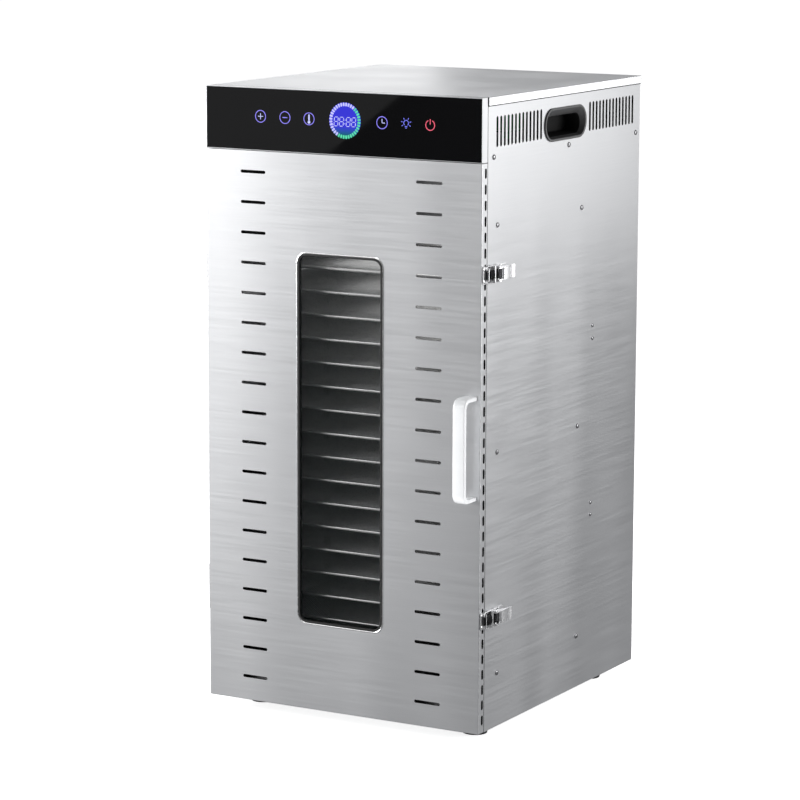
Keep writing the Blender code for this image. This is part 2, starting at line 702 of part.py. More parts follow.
def make_door_panel(axis):
    """A folded steel pan with the window, two columns of slots and the slotted right edge."""
    door = boxes(((-SIDE, -DOOR_DEPTH, BOTTOM), (SIDE, DOOR_BACK, DOOR_TOP)))
    door = piece("door_panel", door, "brushed_steel", axis)
    cut(door, boxes((
        (-SIDE + SHEET, -DOOR_DEPTH + SHEET, BOTTOM + SHEET),
        (SIDE - SHEET, SHEET, DOOR_TOP - SHEET),
    )))
    start, depth = -DOOR_DEPTH - SHEET, 3 * SHEET
    margin = 2 * GAP
    window = rounded(WINDOW_MIDDLE, WINDOW_WIDTH + margin, WINDOW_HEIGHT + margin, WINDOW_CORNER)
    openings = bmesh.new()
    add_prism(openings, window, start, depth, "XZ")
    for row in range(DOOR_SLOTS):
        for sign in (-1, 1):
            across = WINDOW_MIDDLE[0] + sign * DOOR_SLOT_REACH
            middle = (across, FIRST_DOOR_SLOT + row * DOOR_SLOT_PITCH)
            add_prism(openings, rectangle(middle, *DOOR_SLOT), start, depth, "XZ")
    cut(door, openings)
    edge = bmesh.new()
    length, width = EDGE_SLOT
    for row in range(EDGE_SLOTS):
        middle = (EDGE_SLOT_MIDDLE, FIRST_EDGE_SLOT + row * EDGE_SLOT_PITCH)
        add_prism(edge, rectangle(middle, width, length), SIDE - 2 * SHEET, 3 * SHEET, "YZ")
    cut(door, edge)


def make_window_gasket(axis):
    """A rubber lining of the window opening: a lip in front and a seat for the glass behind."""
    middle = WINDOW_MIDDLE
    lip_front = -DOOR_DEPTH - GAP - 0.0008
    spread = 2 * GASKET_LIP
    lip = rounded(
        middle, WINDOW_WIDTH + spread, WINDOW_HEIGHT + spread, WINDOW_CORNER + GASKET_LIP
    )
    lip = prisms((lip, lip_front, 0.0008, "XZ"))
    gasket = piece("window_gasket", lip, "black_rubber", axis)
    body = rounded(middle, WINDOW_WIDTH, WINDOW_HEIGHT, WINDOW_CORNER)
    start = lip_front + 0.0004
    join(gasket, prisms((body, start, GASKET_BACK - start, "XZ")))
    wall = 2 * GASKET_WALL
    view = rounded(middle, WINDOW_WIDTH - wall, WINDOW_HEIGHT - wall, WINDOW_CORNER - GASKET_WALL)
    cut(gasket, prisms((view, lip_front - SHEET, DOOR_DEPTH + 3 * SHEET, "XZ")))
    seat_start = GLASS_BACK - GLASS_THICKNESS - GAP
    seat = rounded(
        middle, WINDOW_WIDTH - 2 * SEAT_INSET, WINDOW_HEIGHT - 2 * SEAT_INSET, WINDOW_CORNER - SEAT_INSET
    )
    cut(gasket, prisms((seat, seat_start, SHEET - seat_start, "XZ")))


def make_door_window(axis):
    inset = SEAT_INSET + GAP
    outline = rounded(
        WINDOW_MIDDLE, WINDOW_WIDTH - 2 * inset, WINDOW_HEIGHT - 2 * inset, WINDOW_CORNER - inset
    )
    glass = prisms((outline, GLASS_BACK - GLASS_THICKNESS, GLASS_THICKNESS, "XZ"))
    piece("door_window", glass, "clear_glass", axis)


def make_door_handle(axis):
    """A strap bent to a U, drawn as its side outline pushed across its width."""
    x, z = HANDLE_MIDDLE
    foot = -DOOR_DEPTH - GAP
    front, half = foot - HANDLE_REACH, HANDLE_HEIGHT / 2
    strap, bend = HANDLE_STRAP, HANDLE_CORNER
    outline = [(foot, z + half)]
    outline += arc((front + bend, z + half - bend), bend, 90, 180, 5)
    outline += arc((front + bend, z - half + bend), bend, 180, 270, 5)
    outline += [(foot, z - half), (foot, z - half + strap)]
    outline += arc((front + bend, z - half + bend), bend - strap, 270, 180, 4)
    outline += arc((front + bend, z + half - bend), bend - strap, 180, 90, 4)
    outline.append((foot, z + half - strap))
    handle = prisms((outline, x - HANDLE_WIDTH / 2, HANDLE_WIDTH, "YZ"))
    piece("door_handle", handle, "white_plastic", axis)


# Hinges


def make_hinge(level, place, root, axis):
    """A butt hinge: a leaf and two knuckles on the cabinet, a leaf and one on the door."""
    x, y = HINGE_AXIS.x, HINGE_AXIS.y
    half, third = HINGE_HEIGHT / 2, HINGE_HEIGHT / 6
    leaf_in, leaf_out = -SIDE - GAP, -SIDE - GAP - LEAF
    low, high = place - half, place + half

    fixed = boxes(((leaf_out, 0.0015, low), (leaf_in, 0.0170, high)))
    fixed = piece(f"hinge_cabinet_{level}", fixed, "chrome", root)
    webs, knuckles = bmesh.new(), bmesh.new()
    for start in (low, place + third):
        length = high - place - third
        add_box(
            webs, (x, y + 0.0005, start + 0.0003),
            (leaf_out + 0.0004, 0.0045, start + length - 0.0003),
        )
        add_cylinder(knuckles, (x, y, start), "Z", length, HINGE_BARREL, 16)
    join(fixed, webs)
    join(fixed, knuckles)
    join(fixed, cylinders(((x, y, low + 0.001), "Z", HINGE_HEIGHT - 0.002, HINGE_PIN), segments=10))

    moving = boxes(((leaf_out, -0.0138, low), (leaf_in, -0.0016, high)))
    moving = piece(f"hinge_door_{level}", moving, "chrome", axis)
    start, length = place - third + GAP, 2 * third - 2 * GAP
    join(moving, boxes((
        (x, -0.0040, start + 0.0003),
        (leaf_out + 0.0004, y - 0.0005, start + length - 0.0003),
    )))
    join(moving, cylinders(((x, y, start), "Z", length, HINGE_BARREL), segments=16))
    bore = ((x, y, start - SHEET), "Z", length + 2 * SHEET, HINGE_PIN + GAP)
    cut(moving, cylinders(bore, segments=10))


# Draw latches


def make_latch_base(level, place, root):
    """A plate on the side panel with two ears and the lever's pin."""
    x, y = LEVER_AXIS.x, LEVER_AXIS.y
    start = SIDE + GAP
    plate = boxes(((start, 0.006, place - 0.010), (start + LATCH_PLATE, 0.048, place + 0.010)))
    base = piece(f"latch_base_{level}", plate, "chrome", root)
    ears = bmesh.new()
    outline = [(start + LATCH_PLATE / 2, y + 0.0045), (start + LATCH_PLATE / 2, y - 0.0045)]
    outline += arc((x, y), 0.0045, -90, 90, 6)
    for low in (place - 0.0093, place + 0.0083):
        add_prism(ears, outline, low, 0.001, "XY")
    join(base, ears)
    join(base, cylinders(((x, y, place - 0.0088), "Z", 0.0176, LATCH_PIN), segments=10))


def make_latch_lever(level, place, axis):
    """A channel that turns on the base's pin, with a curled tab and the bail's pin."""
    x, y = LEVER_AXIS.x, LEVER_AXIS.y
    inboard, outboard, end = BAIL_AXIS.x - 0.0018, x + 0.0042, y + 0.030
    cheek = arc((x, y), 0.0042, 180, 360, 8)
    cheek += [(outboard, end), (outboard - 0.003, end)]
    cheek += [(inboard + 0.001, BAIL_AXIS.y + 0.004), (inboard, BAIL_AXIS.y + 0.002)]
    lever = prisms((cheek, place - 0.0080, 0.0012, "XY"))
    lever = piece(f"latch_lever_{level}", lever, "chrome", axis)
    join(lever, prisms((cheek, place + 0.0068, 0.0012, "XY")))
    cut(lever, cylinders(((x, y, place - 0.012), "Z", 0.024, LATCH_PIN + GAP), segments=10))
    tip, lift = LEVER_TIP, SIDE + LEVER_LIFT
    plate = [
        (outboard - 0.0012, y), (outboard + 0.0002, y), (outboard + 0.0002, end),
        (outboard - 0.0008, end + 0.002), (outboard - 0.0006, tip - 0.003), (lift, tip),
        (lift - 0.0013, tip + 0.0004), (outboard - 0.0020, tip - 0.0027),
        (outboard - 0.0021, end + 0.002), (outboard - 0.0012, end),
    ]
    join(lever, prisms((plate, place - 0.0079, 0.0158, "XY")))
    pin = ((BAIL_AXIS.x, BAIL_AXIS.y, place - 0.0114), "Z", 0.0228, LATCH_PIN)
    join(lever, cylinders(pin, segments=10))


def make_latch_bail(level, place, axis):
    """The loop that pulls on the keeper: two arms, a front bar and a sprung middle."""
    x, y = BAIL_AXIS.x, BAIL_AXIS.y
    bar_x, bar_y = BAIL_BAR
    half = 0.0010
    eye = arc((x, y), 0.0021, -60, 240, 8)
    arm = [(bar_x - half, bar_y - half), (bar_x + half, bar_y - half)] + eye
    bail = prisms((arm, place - 0.0112, 0.0014, "XY"))
    bail = piece(f"latch_bail_{level}", bail, "chrome", axis)
    join(bail, prisms((arm, place + 0.0098, 0.0014, "XY")))
    bar = 0.0009
    join(bail, boxes((
        (bar_x - bar, bar_y - bar, place - 0.0105), (bar_x + bar, bar_y + bar, place + 0.0105)
    )))
    cut(bail, cylinders(((x, y, place - 0.013), "Z", 0.026, LATCH_PIN + GAP), segments=10))


def make_latch_keeper(level, place, axis):
    """A plate on the door's edge with the upright tab that the bail's bar pulls on."""
    start = SIDE + GAP
    plate = boxes(((start, -0.0135, place - 0.011), (start + LATCH_PLATE, -0.0015, place + 0.011)))
    keeper = piece(f"latch_keeper_{level}", plate, "chrome", axis)
    front = BAIL_BAR[1] + 0.0009 + GAP + 0.0001
    join(keeper, boxes((
        (start + LATCH_PLATE / 2, front, place - 0.0080),
        (start + 0.0062, front + LATCH_PLATE, place + 0.0080),
    )))


def shift_to_origin():
    """From the cabinet's frame to the middle of the bounding box."""
    left = HINGE_AXIS.x - HINGE_BARREL
    right = SIDE + LEVER_LIFT
    front = -DOOR_DEPTH - GAP - HANDLE_REACH
    back = BACK_PANEL + SHEET + GAP + 0.002
    return Vector((-(left + right) / 2, -(front + back) / 2, 0))


def main():
    start_scene()
    root = new_axis("dehydrator", (0, 0, 0), None)
    make_base_pan(root)
    for side, sign in (("left", -1), ("right", 1)):
        make_side_panel(f"side_panel_{side}", sign, root)
        make_carry_handle(f"carry_handle_{side}", sign, root)
        make_tray_rack(f"tray_rack_{side}", sign, root)
    make_back_panel(root)
    make_top_cover(root)
    make_front_frame(root)
    make_bay_floor(root)
    for name, place in FEET.items():
        make_foot(name, place, root)
    make_control_fascia(root)
    make_control_glass(root)
    make_control_board(root)
    make_power_board(root)
    make_power_inlet(root)
    make_duct_plate(root)
    make_temperature_probe(root)
    make_chamber_lamp(root)
    make_heater(root)
    make_trays(root)
    for level, place in FAN_LEVELS.items():
        fan_axis = new_axis(f"fan_axis_{level}", (0, ROTOR_MIDDLE, place), root)
        make_fan_motor(f"fan_motor_{level}", place, root)
        make_fan_rotor(f"fan_rotor_{level}", place, fan_axis)
    door_axis = new_axis("door_axis", HINGE_AXIS, root)
    make_door_panel(door_axis)
    make_window_gasket(door_axis)
    make_door_window(door_axis)
    make_door_handle(door_axis)
    for level, place in FITTING_LEVELS.items():
        up = Vector((0, 0, place))
        lever_axis = new_axis(f"lever_axis_{level}", LEVER_AXIS + up, root)
        bail_axis = new_axis(f"bail_axis_{level}", BAIL_AXIS + up, lever_axis)
        make_hinge(level, place, root, door_axis)
        make_latch_base(level, place, root)
        make_latch_lever(level, place, lever_axis)
        make_latch_bail(level, place, bail_axis)
        make_latch_keeper(level, place, door_axis)
    root.location = shift_to_origin()


main()
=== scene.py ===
"""The looks of a sixteen-tray food dehydrator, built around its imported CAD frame.

Metres. Every piece is drawn in the cabinet's own frame, as the CAD is: X from the middle of the
width, Y back from the plane where the door meets the cabinet, Z up from the floor. new_piece()
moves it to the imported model's frame. Sizes come from the CAD nodes' boxes where they give them.
"""

import math
import random
from collections import Counter

import bmesh
import bpy
from mathutils import Matrix, Vector
from mathutils.geometry import delaunay_2d_cdt


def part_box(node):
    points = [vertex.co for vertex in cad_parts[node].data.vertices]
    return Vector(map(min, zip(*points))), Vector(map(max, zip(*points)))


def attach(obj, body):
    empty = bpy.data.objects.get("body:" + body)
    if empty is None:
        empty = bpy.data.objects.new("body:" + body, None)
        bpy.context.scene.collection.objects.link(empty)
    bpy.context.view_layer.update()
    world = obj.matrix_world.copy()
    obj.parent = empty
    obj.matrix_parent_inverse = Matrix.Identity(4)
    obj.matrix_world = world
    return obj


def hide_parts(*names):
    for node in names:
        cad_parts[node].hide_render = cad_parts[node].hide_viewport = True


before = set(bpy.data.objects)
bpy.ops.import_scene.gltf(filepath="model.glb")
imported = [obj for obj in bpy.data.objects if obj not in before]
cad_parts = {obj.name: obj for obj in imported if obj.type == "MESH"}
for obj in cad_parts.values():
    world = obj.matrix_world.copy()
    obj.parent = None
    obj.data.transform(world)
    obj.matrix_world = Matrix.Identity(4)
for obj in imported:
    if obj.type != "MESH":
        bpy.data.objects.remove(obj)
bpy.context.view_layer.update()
SHIFT = Vector((
    (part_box("side_panel_left")[0].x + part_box("side_panel_right")[1].x) / 2,
    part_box("side_panel_right")[0].y,
    0,
))


def node_box(node):
    """A CAD node's lowest and highest corners, in the cabinet's frame."""
    low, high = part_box(node)
    return low - SHIFT, high - SHIFT


def node_middle(node):
    """The middle of a CAD node's box, in the cabinet's frame."""
    low, high = node_box(node)
    return (low + high) / 2


# Sizes that the CAD boxes give
SIDE = node_box("side_panel_right")[1].x
BOTTOM = node_box("base_pan")[0].z
TOP = node_box("top_cover")[1].z
BACK = node_box("back_panel")[1].y
DOOR_LOW, DOOR_HIGH = node_box("door_panel")
GLASS_LOW, GLASS_HIGH = node_box("control_glass")

# Sizes repeated from the CAD
SHEET = 0.001
GAP = 0.0003
WINDOW = (0.122, 0.477, 0.012)  # width, height, corner
WINDOW_MIDDLE = (-0.002, BOTTOM + 0.354)
DOOR_SLOT = (0.037, 0.004)
DOOR_SLOTS, DOOR_SLOT_PITCH, FIRST_DOOR_SLOT = 18, 0.03889, BOTTOM + 0.0318
DOOR_SLOT_REACH = 0.1281  # of a column from the window's middle
EDGE_SLOT = (0.005, 0.0128)  # a little longer than the CAD's
EDGE_SLOTS, EDGE_SLOT_PITCH, FIRST_EDGE_SLOT = 36, 0.01973, BOTTOM + 0.0167
EDGE_SLOT_MIDDLE = -0.0055
VENT_GROUPS = ((0.0238, 13, 0.0098), (0.2797, 14, 0.00977))  # first slot, count, pitch
VENT_SLOT = (0.0052, 0.038)  # a little larger than the CAD's
VENT_LEVEL = BOTTOM + 0.7565
CUP = (0.209, BOTTOM + 0.7532)
CUP_LENGTH, CUP_HEIGHT, CUP_DEPTH = 0.117, 0.0425, 0.030
FITTING_LEVELS = {"upper": BOTTOM + 0.582, "lower": BOTTOM + 0.1455}
FAN_LEVELS = {"upper": BOTTOM + 0.472, "lower": BOTTOM + 0.236}

# Control panel: the display's middle and how far right each symbol is
SYMBOL_LEVEL = (GLASS_LOW.z + GLASS_HIGH.z) / 2 + 0.0037
DISPLAY = (0.0055, SYMBOL_LEVEL)
ICONS = (-0.1184, -0.0822, -0.0468, 0.0588, 0.0931, 0.1271)

# Latches, in X and Y
LEVER_AXIS = (SIDE + 0.0065, 0.016)
BAIL_AXIS = (SIDE + 0.0040, 0.026)
BAIL_BAR = (SIDE + 0.0036, -0.0076)
PIN = 0.0012  # radius of a pin

# Folded sheet
BEND = 0.0008  # outside radius of a folded edge
PLATE_LIP = 0.003  # what the side sheet's hole leaves for the carrying cup's lip to rest on

# Small distances that keep the meshes sound
MERGE = 1e-6  # points closer than this become one
FLAT_TOLERANCE = 1e-7
TIP = 0.00001  # radius at the closed end of a turned shape
FACING = 0.99  # least dot product of a face that looks along a direction

# Lit shapes stand this far off the touch glass and are this thick
LIT_GAP, LIT_DEPTH = 0.00004, 0.00012

# The Mix node's sockets for colours
FIRST_COLOUR, SECOND_COLOUR, MIXED_COLOUR = 6, 7, 2


# Materials


def start_material(name, colour, roughness, **sockets):
    """A Principled material with plain values on its own sockets."""
    made = bpy.data.materials.new(name)
    made.use_nodes = True
    inputs = made.node_tree.nodes["Principled BSDF"].inputs
    inputs["Base Color"].default_value = (*colour, 1)
    inputs["Roughness"].default_value = roughness
    for label, value in sockets.items():
        inputs[label.replace("_", " ")].default_value = value
    return made


def add_node(made, kind, settings=(), **inputs):
    """A shader node. An input is a plain value, or the output socket that feeds it."""
    tree = made.node_tree
    node = tree.nodes.new("ShaderNode" + kind)
    for label, value in dict(settings).items():
        setattr(node, label, value)
    for label, value in inputs.items():
        socket = node.inputs[label.replace("_", " ")]
        if isinstance(value, bpy.types.NodeSocket):
            tree.links.new(value, socket)
        else:
            socket.default_value = value
    return node


def feed(made, output, label):
    """Links an output to one of the Principled shader's inputs."""
    made.node_tree.links.new(output, made.node_tree.nodes["Principled BSDF"].inputs[label])


def object_place(made, scale=(1, 1, 1)):
    """Coordinates fixed to the object, stretched by a scale for each axis."""
    place = add_node(made, "TexCoord").outputs["Object"]
    return add_node(made, "Mapping", Vector=place, Scale=scale).outputs["Vector"]


def noise(made, scale, detail=2.0, stretch=(1, 1, 1)):
    """A grey noise with so many lumps to the metre."""
    place = object_place(made, stretch)
    return add_node(made, "TexNoise", Vector=place, Scale=scale, Detail=detail).outputs["Fac"]


def between(made, factor, low, high, start=0.3, end=0.7):
    """Maps a noise to a number between low and high."""
    ranged = add_node(made, "MapRange", Value=factor)
    for label, value in (("From Min", start), ("From Max", end), ("To Min", low), ("To Max", high)):
        ranged.inputs[label].default_value = value
    return ranged.outputs["Result"]


def blend_colours(made, factor, first, second):
    """Goes from the first colour to the second as the factor goes from 0 to 1."""
    mixed = add_node(made, "Mix", {"data_type": "RGBA"}, Factor=factor)
    mixed.inputs[FIRST_COLOUR].default_value = (*first, 1)
    mixed.inputs[SECOND_COLOUR].default_value = (*second, 1)
    return mixed.outputs[MIXED_COLOUR]


def bump(made, height, depth, strength):
    """Fine relief. The shapes themselves are all in the meshes."""
    bumped = add_node(made, "Bump", Height=height, Distance=depth, Strength=strength)
    feed(made, bumped.outputs["Normal"], "Normal")


STEEL_DARK, STEEL_LIGHT = (0.66, 0.665, 0.68), (0.74, 0.745, 0.755)


def drawn_out(grain, scale):
    """Scales for the three axes that draw a noise out along one of them."""
    return [scale if axis == grain else 1.0 for axis in "XYZ"]


def brushed_steel(name, grain, radial="Z"):
    """Stainless sheet brushed along X or Y: fine streaks, slow bands and a drawn-out highlight."""
    roughness, swing = 0.36, 0.03
    made = start_material(
        name, STEEL_LIGHT, roughness, Metallic=1.0, Anisotropic=0.55, Anisotropic_Rotation=0.25
    )
    tangent = add_node(made, "Tangent", {"direction_type": "RADIAL", "axis": radial})
    feed(made, tangent.outputs["Tangent"], "Tangent")
    streaks = noise(made, 2600.0, 3.0, drawn_out(grain, 0.004))
    feed(made, blend_colours(made, streaks, STEEL_DARK, STEEL_LIGHT), "Base Color")
    lines = noise(made, 420.0, 2.0, drawn_out(grain, 0.02))
    bands = noise(made, 9.0, 1.0, (1, 1, 0.15))
    both = add_node(made, "Math", {"operation": "ADD"})
    made.node_tree.links.new(between(made, lines, -swing, swing), both.inputs[0])
    made.node_tree.links.new(between(made, bands, roughness - swing, roughness + swing), both.inputs[1])
    feed(made, both.outputs[0], "Roughness")
    bump(made, streaks, 0.00002, 0.5)
    return made


def galvanised_steel():
    """Zinc spangle: flat crystals a few millimetres wide, each with its own tone."""
    made = start_material("galvanised_steel", (0.5, 0.51, 0.52), 0.45, Metallic=1.0)
    crystals = add_node(made, "TexVoronoi", Vector=object_place(made), Scale=190.0)
    tone = add_node(made, "SeparateColor", Color=crystals.outputs["Color"]).outputs["Red"]
    feed(made, blend_colours(made, tone, (0.40, 0.41, 0.42), (0.60, 0.61, 0.62)), "Base Color")
    feed(made, between(made, tone, 0.36, 0.54, 0.0, 1.0), "Roughness")
    return made


def fine_surface(name, colour, roughness, swing, grain, depth, strength, patches, dulling, **sockets):
    """A fine texture that roughens and lifts the surface, and slow patches of a duller tone."""
    made = start_material(name, colour, roughness, **sockets)
    texture = noise(made, grain, 3.0)
    feed(made, between(made, texture, roughness - swing, roughness + swing), "Roughness")
    dull = tuple(dulling * part for part in colour)
    feed(made, blend_colours(made, noise(made, patches), dull, colour), "Base Color")
    bump(made, texture, depth, strength)
    return made


def satin_steel(name, colour, roughness):
    """Drawn wire and small pressed parts: a soft shine with faint mottling."""
    return fine_surface(name, colour, roughness, 0.06, 900.0, 0.00002, 0.3, 60.0, 0.86, Metallic=1.0)


def plastic(name, colour, roughness, grain, depth, **sockets):
    """Moulded plastic or rubber, with the fine texture of its mould."""
    return fine_surface(name, colour, roughness, 0.05, grain, depth, 0.4, 40.0, 0.9, **sockets)


def glass(name, colour, wipes, smooth, wiped, **sockets):
    """Polished glass that carries a few faint wipe marks."""
    made = start_material(name, colour, smooth, **sockets)
    feed(made, between(made, noise(made, *wipes), smooth, wiped), "Roughness")
    return made


def light_material(name, colour, strength):
    """A lit symbol: bright in the middle of its stroke, with slight unevenness."""
    unlit = tuple(0.04 * part for part in colour)
    made = start_material(name, unlit, 0.4, Emission_Color=(*colour, 1), Emission_Strength=strength)
    uneven = noise(made, 500.0, 1.0)
    feed(made, between(made, uneven, 0.8 * strength, 1.2 * strength), "Emission Strength")
    return made


def display_material():
    """The round display's field: deep blue, turning green towards its lower right."""
    made = start_material(
        "display_field", (0.002, 0.002, 0.01), 0.3, Specular_IOR_Level=0.05, Emission_Strength=1.0
    )
    place = add_node(made, "TexCoord").outputs["Object"]
    parts = add_node(made, "SeparateXYZ", Vector=place)
    middle, spread = SYMBOL_LEVEL - 0.0135, 0.006
    height = between(made, parts.outputs["Z"], 1.0, 0.0, middle - spread, middle + spread)
    colour = blend_colours(made, height, (0.035, 0.035, 0.66), (0.0, 0.13, 0.09))
    feed(made, colour, "Emission Color")
    return made


def circuit_board():
    """Green solder mask over a maze of copper tracks."""
    made = start_material("circuit_board", (0.02, 0.14, 0.05), 0.35)
    tracks = add_node(
        made, "TexBrick", Vector=object_place(made), Scale=160.0, Mortar_Size=0.03,
        Color1=(0.015, 0.11, 0.04, 1), Color2=(0.02, 0.15, 0.06, 1), Mortar=(0.05, 0.26, 0.09, 1),
    )
    feed(made, tracks.outputs["Color"], "Base Color")
    bump(made, tracks.outputs["Fac"], 0.00005, 0.5)
    return made


def heater_steel():
    """A tube that has been hot: brown and blue oxide in slow patches."""
    made = start_material("heater_steel", (0.2, 0.19, 0.18), 0.42, Metallic=1.0)
    patches = noise(made, 22.0, 4.0)
    feed(made, blend_colours(made, patches, (0.26, 0.20, 0.15), (0.14, 0.15, 0.19)), "Base Color")
    feed(made, between(made, noise(made, 300.0), 0.36, 0.5), "Roughness")
    return made


front_steel = brushed_steel("brushed_steel_front", "X")
side_steel = brushed_steel("brushed_steel_side", "Y")
top_steel = brushed_steel("brushed_steel_top", "X", radial="Y")
tray_steel = satin_steel("tray_steel", (0.80, 0.80, 0.80), 0.30)
# Lighter than the door's steel, for the bead pressed in that sheet: a painted highlight.
bead_steel_painted_highlight = satin_steel("window_bead_painted_highlight", (0.90, 0.90, 0.90), 0.24)
chrome = satin_steel("chrome", (0.88, 0.88, 0.89), 0.12)
latch_steel = satin_steel("latch_steel", (0.88, 0.88, 0.89), 0.33)
spring_steel = satin_steel("spring_steel", (0.035, 0.035, 0.038), 0.35)
# Near black, for the far faces, cut edges and hole walls of the sheets and the cup's deep pocket: painted
# shade that makes slots, seams and hollows read dark.
painted_shade_black = plastic("painted_shade_near_black", (0.004, 0.004, 0.004), 0.60, 900.0, 0.00002, Specular_IOR_Level=0.1)
screw_steel = satin_steel("screw_steel", (0.34, 0.34, 0.35), 0.28)
galvanised = galvanised_steel()
touch_glass = glass(
    "black_glass", (0.0012, 0.0012, 0.0015), (26.0, 3.0, (1, 1, 3)), 0.015, 0.04, Specular_IOR_Level=0.15
)
clear_glass = glass("window_glass", (0.010, 0.014, 0.014), (14.0,), 0.02, 0.05, Alpha=0.12)
white_plastic = plastic(
    "white_plastic", (0.70, 0.71, 0.72), 0.30, 1500.0, 0.00002, Coat_Weight=0.4, Coat_Roughness=0.08
)
mouth_plastic = plastic("mouth_plastic", (0.040, 0.040, 0.041), 0.42, 1800.0, 0.00005)
black_plastic = plastic("black_plastic", (0.014, 0.014, 0.015), 0.45, 1800.0, 0.00005)
black_rubber = plastic("black_rubber", (0.010, 0.010, 0.010), 0.65, 2200.0, 0.00006)
board = circuit_board()
heater = heater_steel()
lights = {
    name: light_material(f"symbol_{name}", colour, 1.0)
    for name, colour in (
        ("violet", (0.24, 0.20, 0.95)), ("blue", (0.16, 0.18, 0.95)), ("white", (0.55, 0.58, 1.0)),
        ("red", (0.85, 0.09, 0.16)), ("green", (0.05, 0.62, 0.34)), ("pale", (0.50, 0.50, 1.0)),
    )
}
display_field = display_material()
lamp_light = light_material("lamp_lens", (1.0, 0.93, 0.80), 3.0)


# Shapes


def arc(middle, radius, start, end, steps):
    """Points on an arc, with its angles in degrees."""
    turns = [math.radians(start + (end - start) * n / steps) for n in range(steps + 1)]
    return [(middle[0] + radius * math.cos(t), middle[1] + radius * math.sin(t)) for t in turns]


def rounded(middle, width, height, radius, steps=8):
    """Outline of a rectangle with round corners, anticlockwise."""
    points = []
    for quarter, (right, up) in enumerate(((1, 1), (-1, 1), (-1, -1), (1, -1))):
        centre = (middle[0] + right * (width / 2 - radius), middle[1] + up * (height / 2 - radius))
        points += arc(centre, radius, 90 * quarter, 90 * (quarter + 1), steps)
    return points


def slot_shape(middle, width, height, steps=5):
    """A slot with round ends. It is a little off a true half circle, so no two points meet."""
    nearly_half = 0.495
    return rounded(middle, width, height, nearly_half * min(width, height), steps)


def axes(letters):
    """The index of each axis that letters such as "XZ" name."""
    return ["XYZ".index(letter) for letter in letters]


def lift(outline, level, plane):
    """2-D points placed on a plane, "XY", "XZ" or "YZ", at a level along the third axis."""
    first, second = axes(plane)
    points = []
    for u, v in outline:
        point = [level] * 3
        point[first], point[second] = u, v
        points.append(Vector(point))
    return points


def add_loft(bm, rings, capped=True):
    """Skins closed rings of equally many points, with or without a face at each end."""
    rows = [[bm.verts.new(point) for point in ring] for ring in rings]
    count = len(rows[0])
    for lower, upper in zip(rows, rows[1:]):
        for n in range(count):
            after = (n + 1) % count
            bm.faces.new((lower[n], lower[after], upper[after], upper[n]))
    if capped:
        bm.faces.new(rows[0])
        bm.faces.new(rows[-1])


def merge(bm):
    """Makes points that meet one."""
    bmesh.ops.remove_doubles(bm, verts=bm.verts, dist=MERGE)


def add_loop_loft(bm, rings):
    """Skins rings whose last one joins the first again, as a frame or a tube bent into a loop."""
    add_loft(bm, [*rings, rings[0]], capped=False)
    merge(bm)


def add_prism(bm, outline, start, thickness, plane):
    """An outline on a plane, made so thick along the third axis."""
    add_loft(bm, [lift(outline, start, plane), lift(outline, start + thickness, plane)])


def box_outline(low, high, plane):
    """The outline of a box's four corners on a plane."""
    u, v = axes(plane)
    return [(low[u], low[v]), (high[u], low[v]), (high[u], high[v]), (low[u], high[v])]


def add_box(bm, low, high):
    """A box between two corners."""
    add_prism(bm, box_outline(low, high, "XY"), low[2], high[2] - low[2], "XY")


def turns(steps):
    """Angles that divide a full turn into so many steps."""
    return [2 * math.pi * n / steps for n in range(steps)]


def add_lathe(bm, profile, place, axis, steps):
    """Turns (radius, distance along the axis) points about an axis through a place."""
    turn = Vector((0, 0, 1)).rotation_difference(Vector(axis)).to_matrix()
    rings = []
    for radius, along in profile:
        ring = [Vector((radius * math.cos(a), radius * math.sin(a), along)) for a in turns(steps)]
        rings.append([turn @ point + Vector(place) for point in ring])
    add_loft(bm, rings)


def add_pin(bm, place, radius, half_length, steps):
    """An upright pin around a place."""
    add_lathe(bm, [(radius, -half_length), (radius, half_length)], place, (0, 0, 1), steps)


def heading(path, n):
    """The direction in which a path of vectors runs at its nth point."""
    return (path[min(n + 1, len(path) - 1)] - path[max(n - 1, 0)]).normalized()


def add_wire(bm, path, radius, sides):
    """A round wire along a path that lies in space, with its section kept square to the path."""
    rings = []
    side = heading(path, 0).orthogonal().normalized()
    for n, point in enumerate(path):
        ahead = heading(path, n)
        side = (side - ahead * side.dot(ahead)).normalized()
        other = ahead.cross(side)
        rings.append([point + radius * (side * math.cos(a) + other * math.sin(a)) for a in turns(sides)])
    add_loft(bm, rings)


def add_holed_face(bm, outline, holes, plane, level):
    """A flat face with holes in it, as triangles that share their points with the edges."""
    points, loops = [], []
    for loop in [outline, *holes]:
        loops.append(list(range(len(points), len(points) + len(loop))))
        points += [Vector(point) for point in loop]
    flat, _, triangles, _, _, inside = delaunay_2d_cdt(points, [], loops, 1, FLAT_TOLERANCE)
    corners = [bm.verts.new(point) for point in lift(flat, level, plane)]
    for triangle, within in zip(triangles, inside):
        if within == [0]:
            bm.faces.new([corners[n] for n in triangle])
    bmesh.ops.delete(bm, geom=[corner for corner in corners if not corner.link_faces], context="VERTS")


def add_object(name, data, matrix=None):
    """Puts an object in the scene, at the origin or where a matrix says."""
    obj = bpy.data.objects.new(name, data)
    if matrix:
        obj.matrix_world = matrix
    bpy.context.scene.collection.objects.link(obj)
    return obj


def bake(name, bm):
    """Turns a finished bmesh into a mesh."""
    mesh = bpy.data.meshes.new(name)
    bm.to_mesh(mesh)
    bm.free()
    return mesh


def new_mesh(name, bm, material, sharp, moved=SHIFT):
    """A mesh from a bmesh in the cabinet's frame, smooth except where it turns sharply."""
    bmesh.ops.recalc_face_normals(bm, faces=bm.faces)
    bmesh.ops.translate(bm, verts=bm.verts, vec=moved)
    mesh = bake(name, bm)
    mesh.materials.append(material)
    mesh.shade_smooth()
    mesh.set_sharp_from_angle(angle=math.radians(sharp))
    return mesh


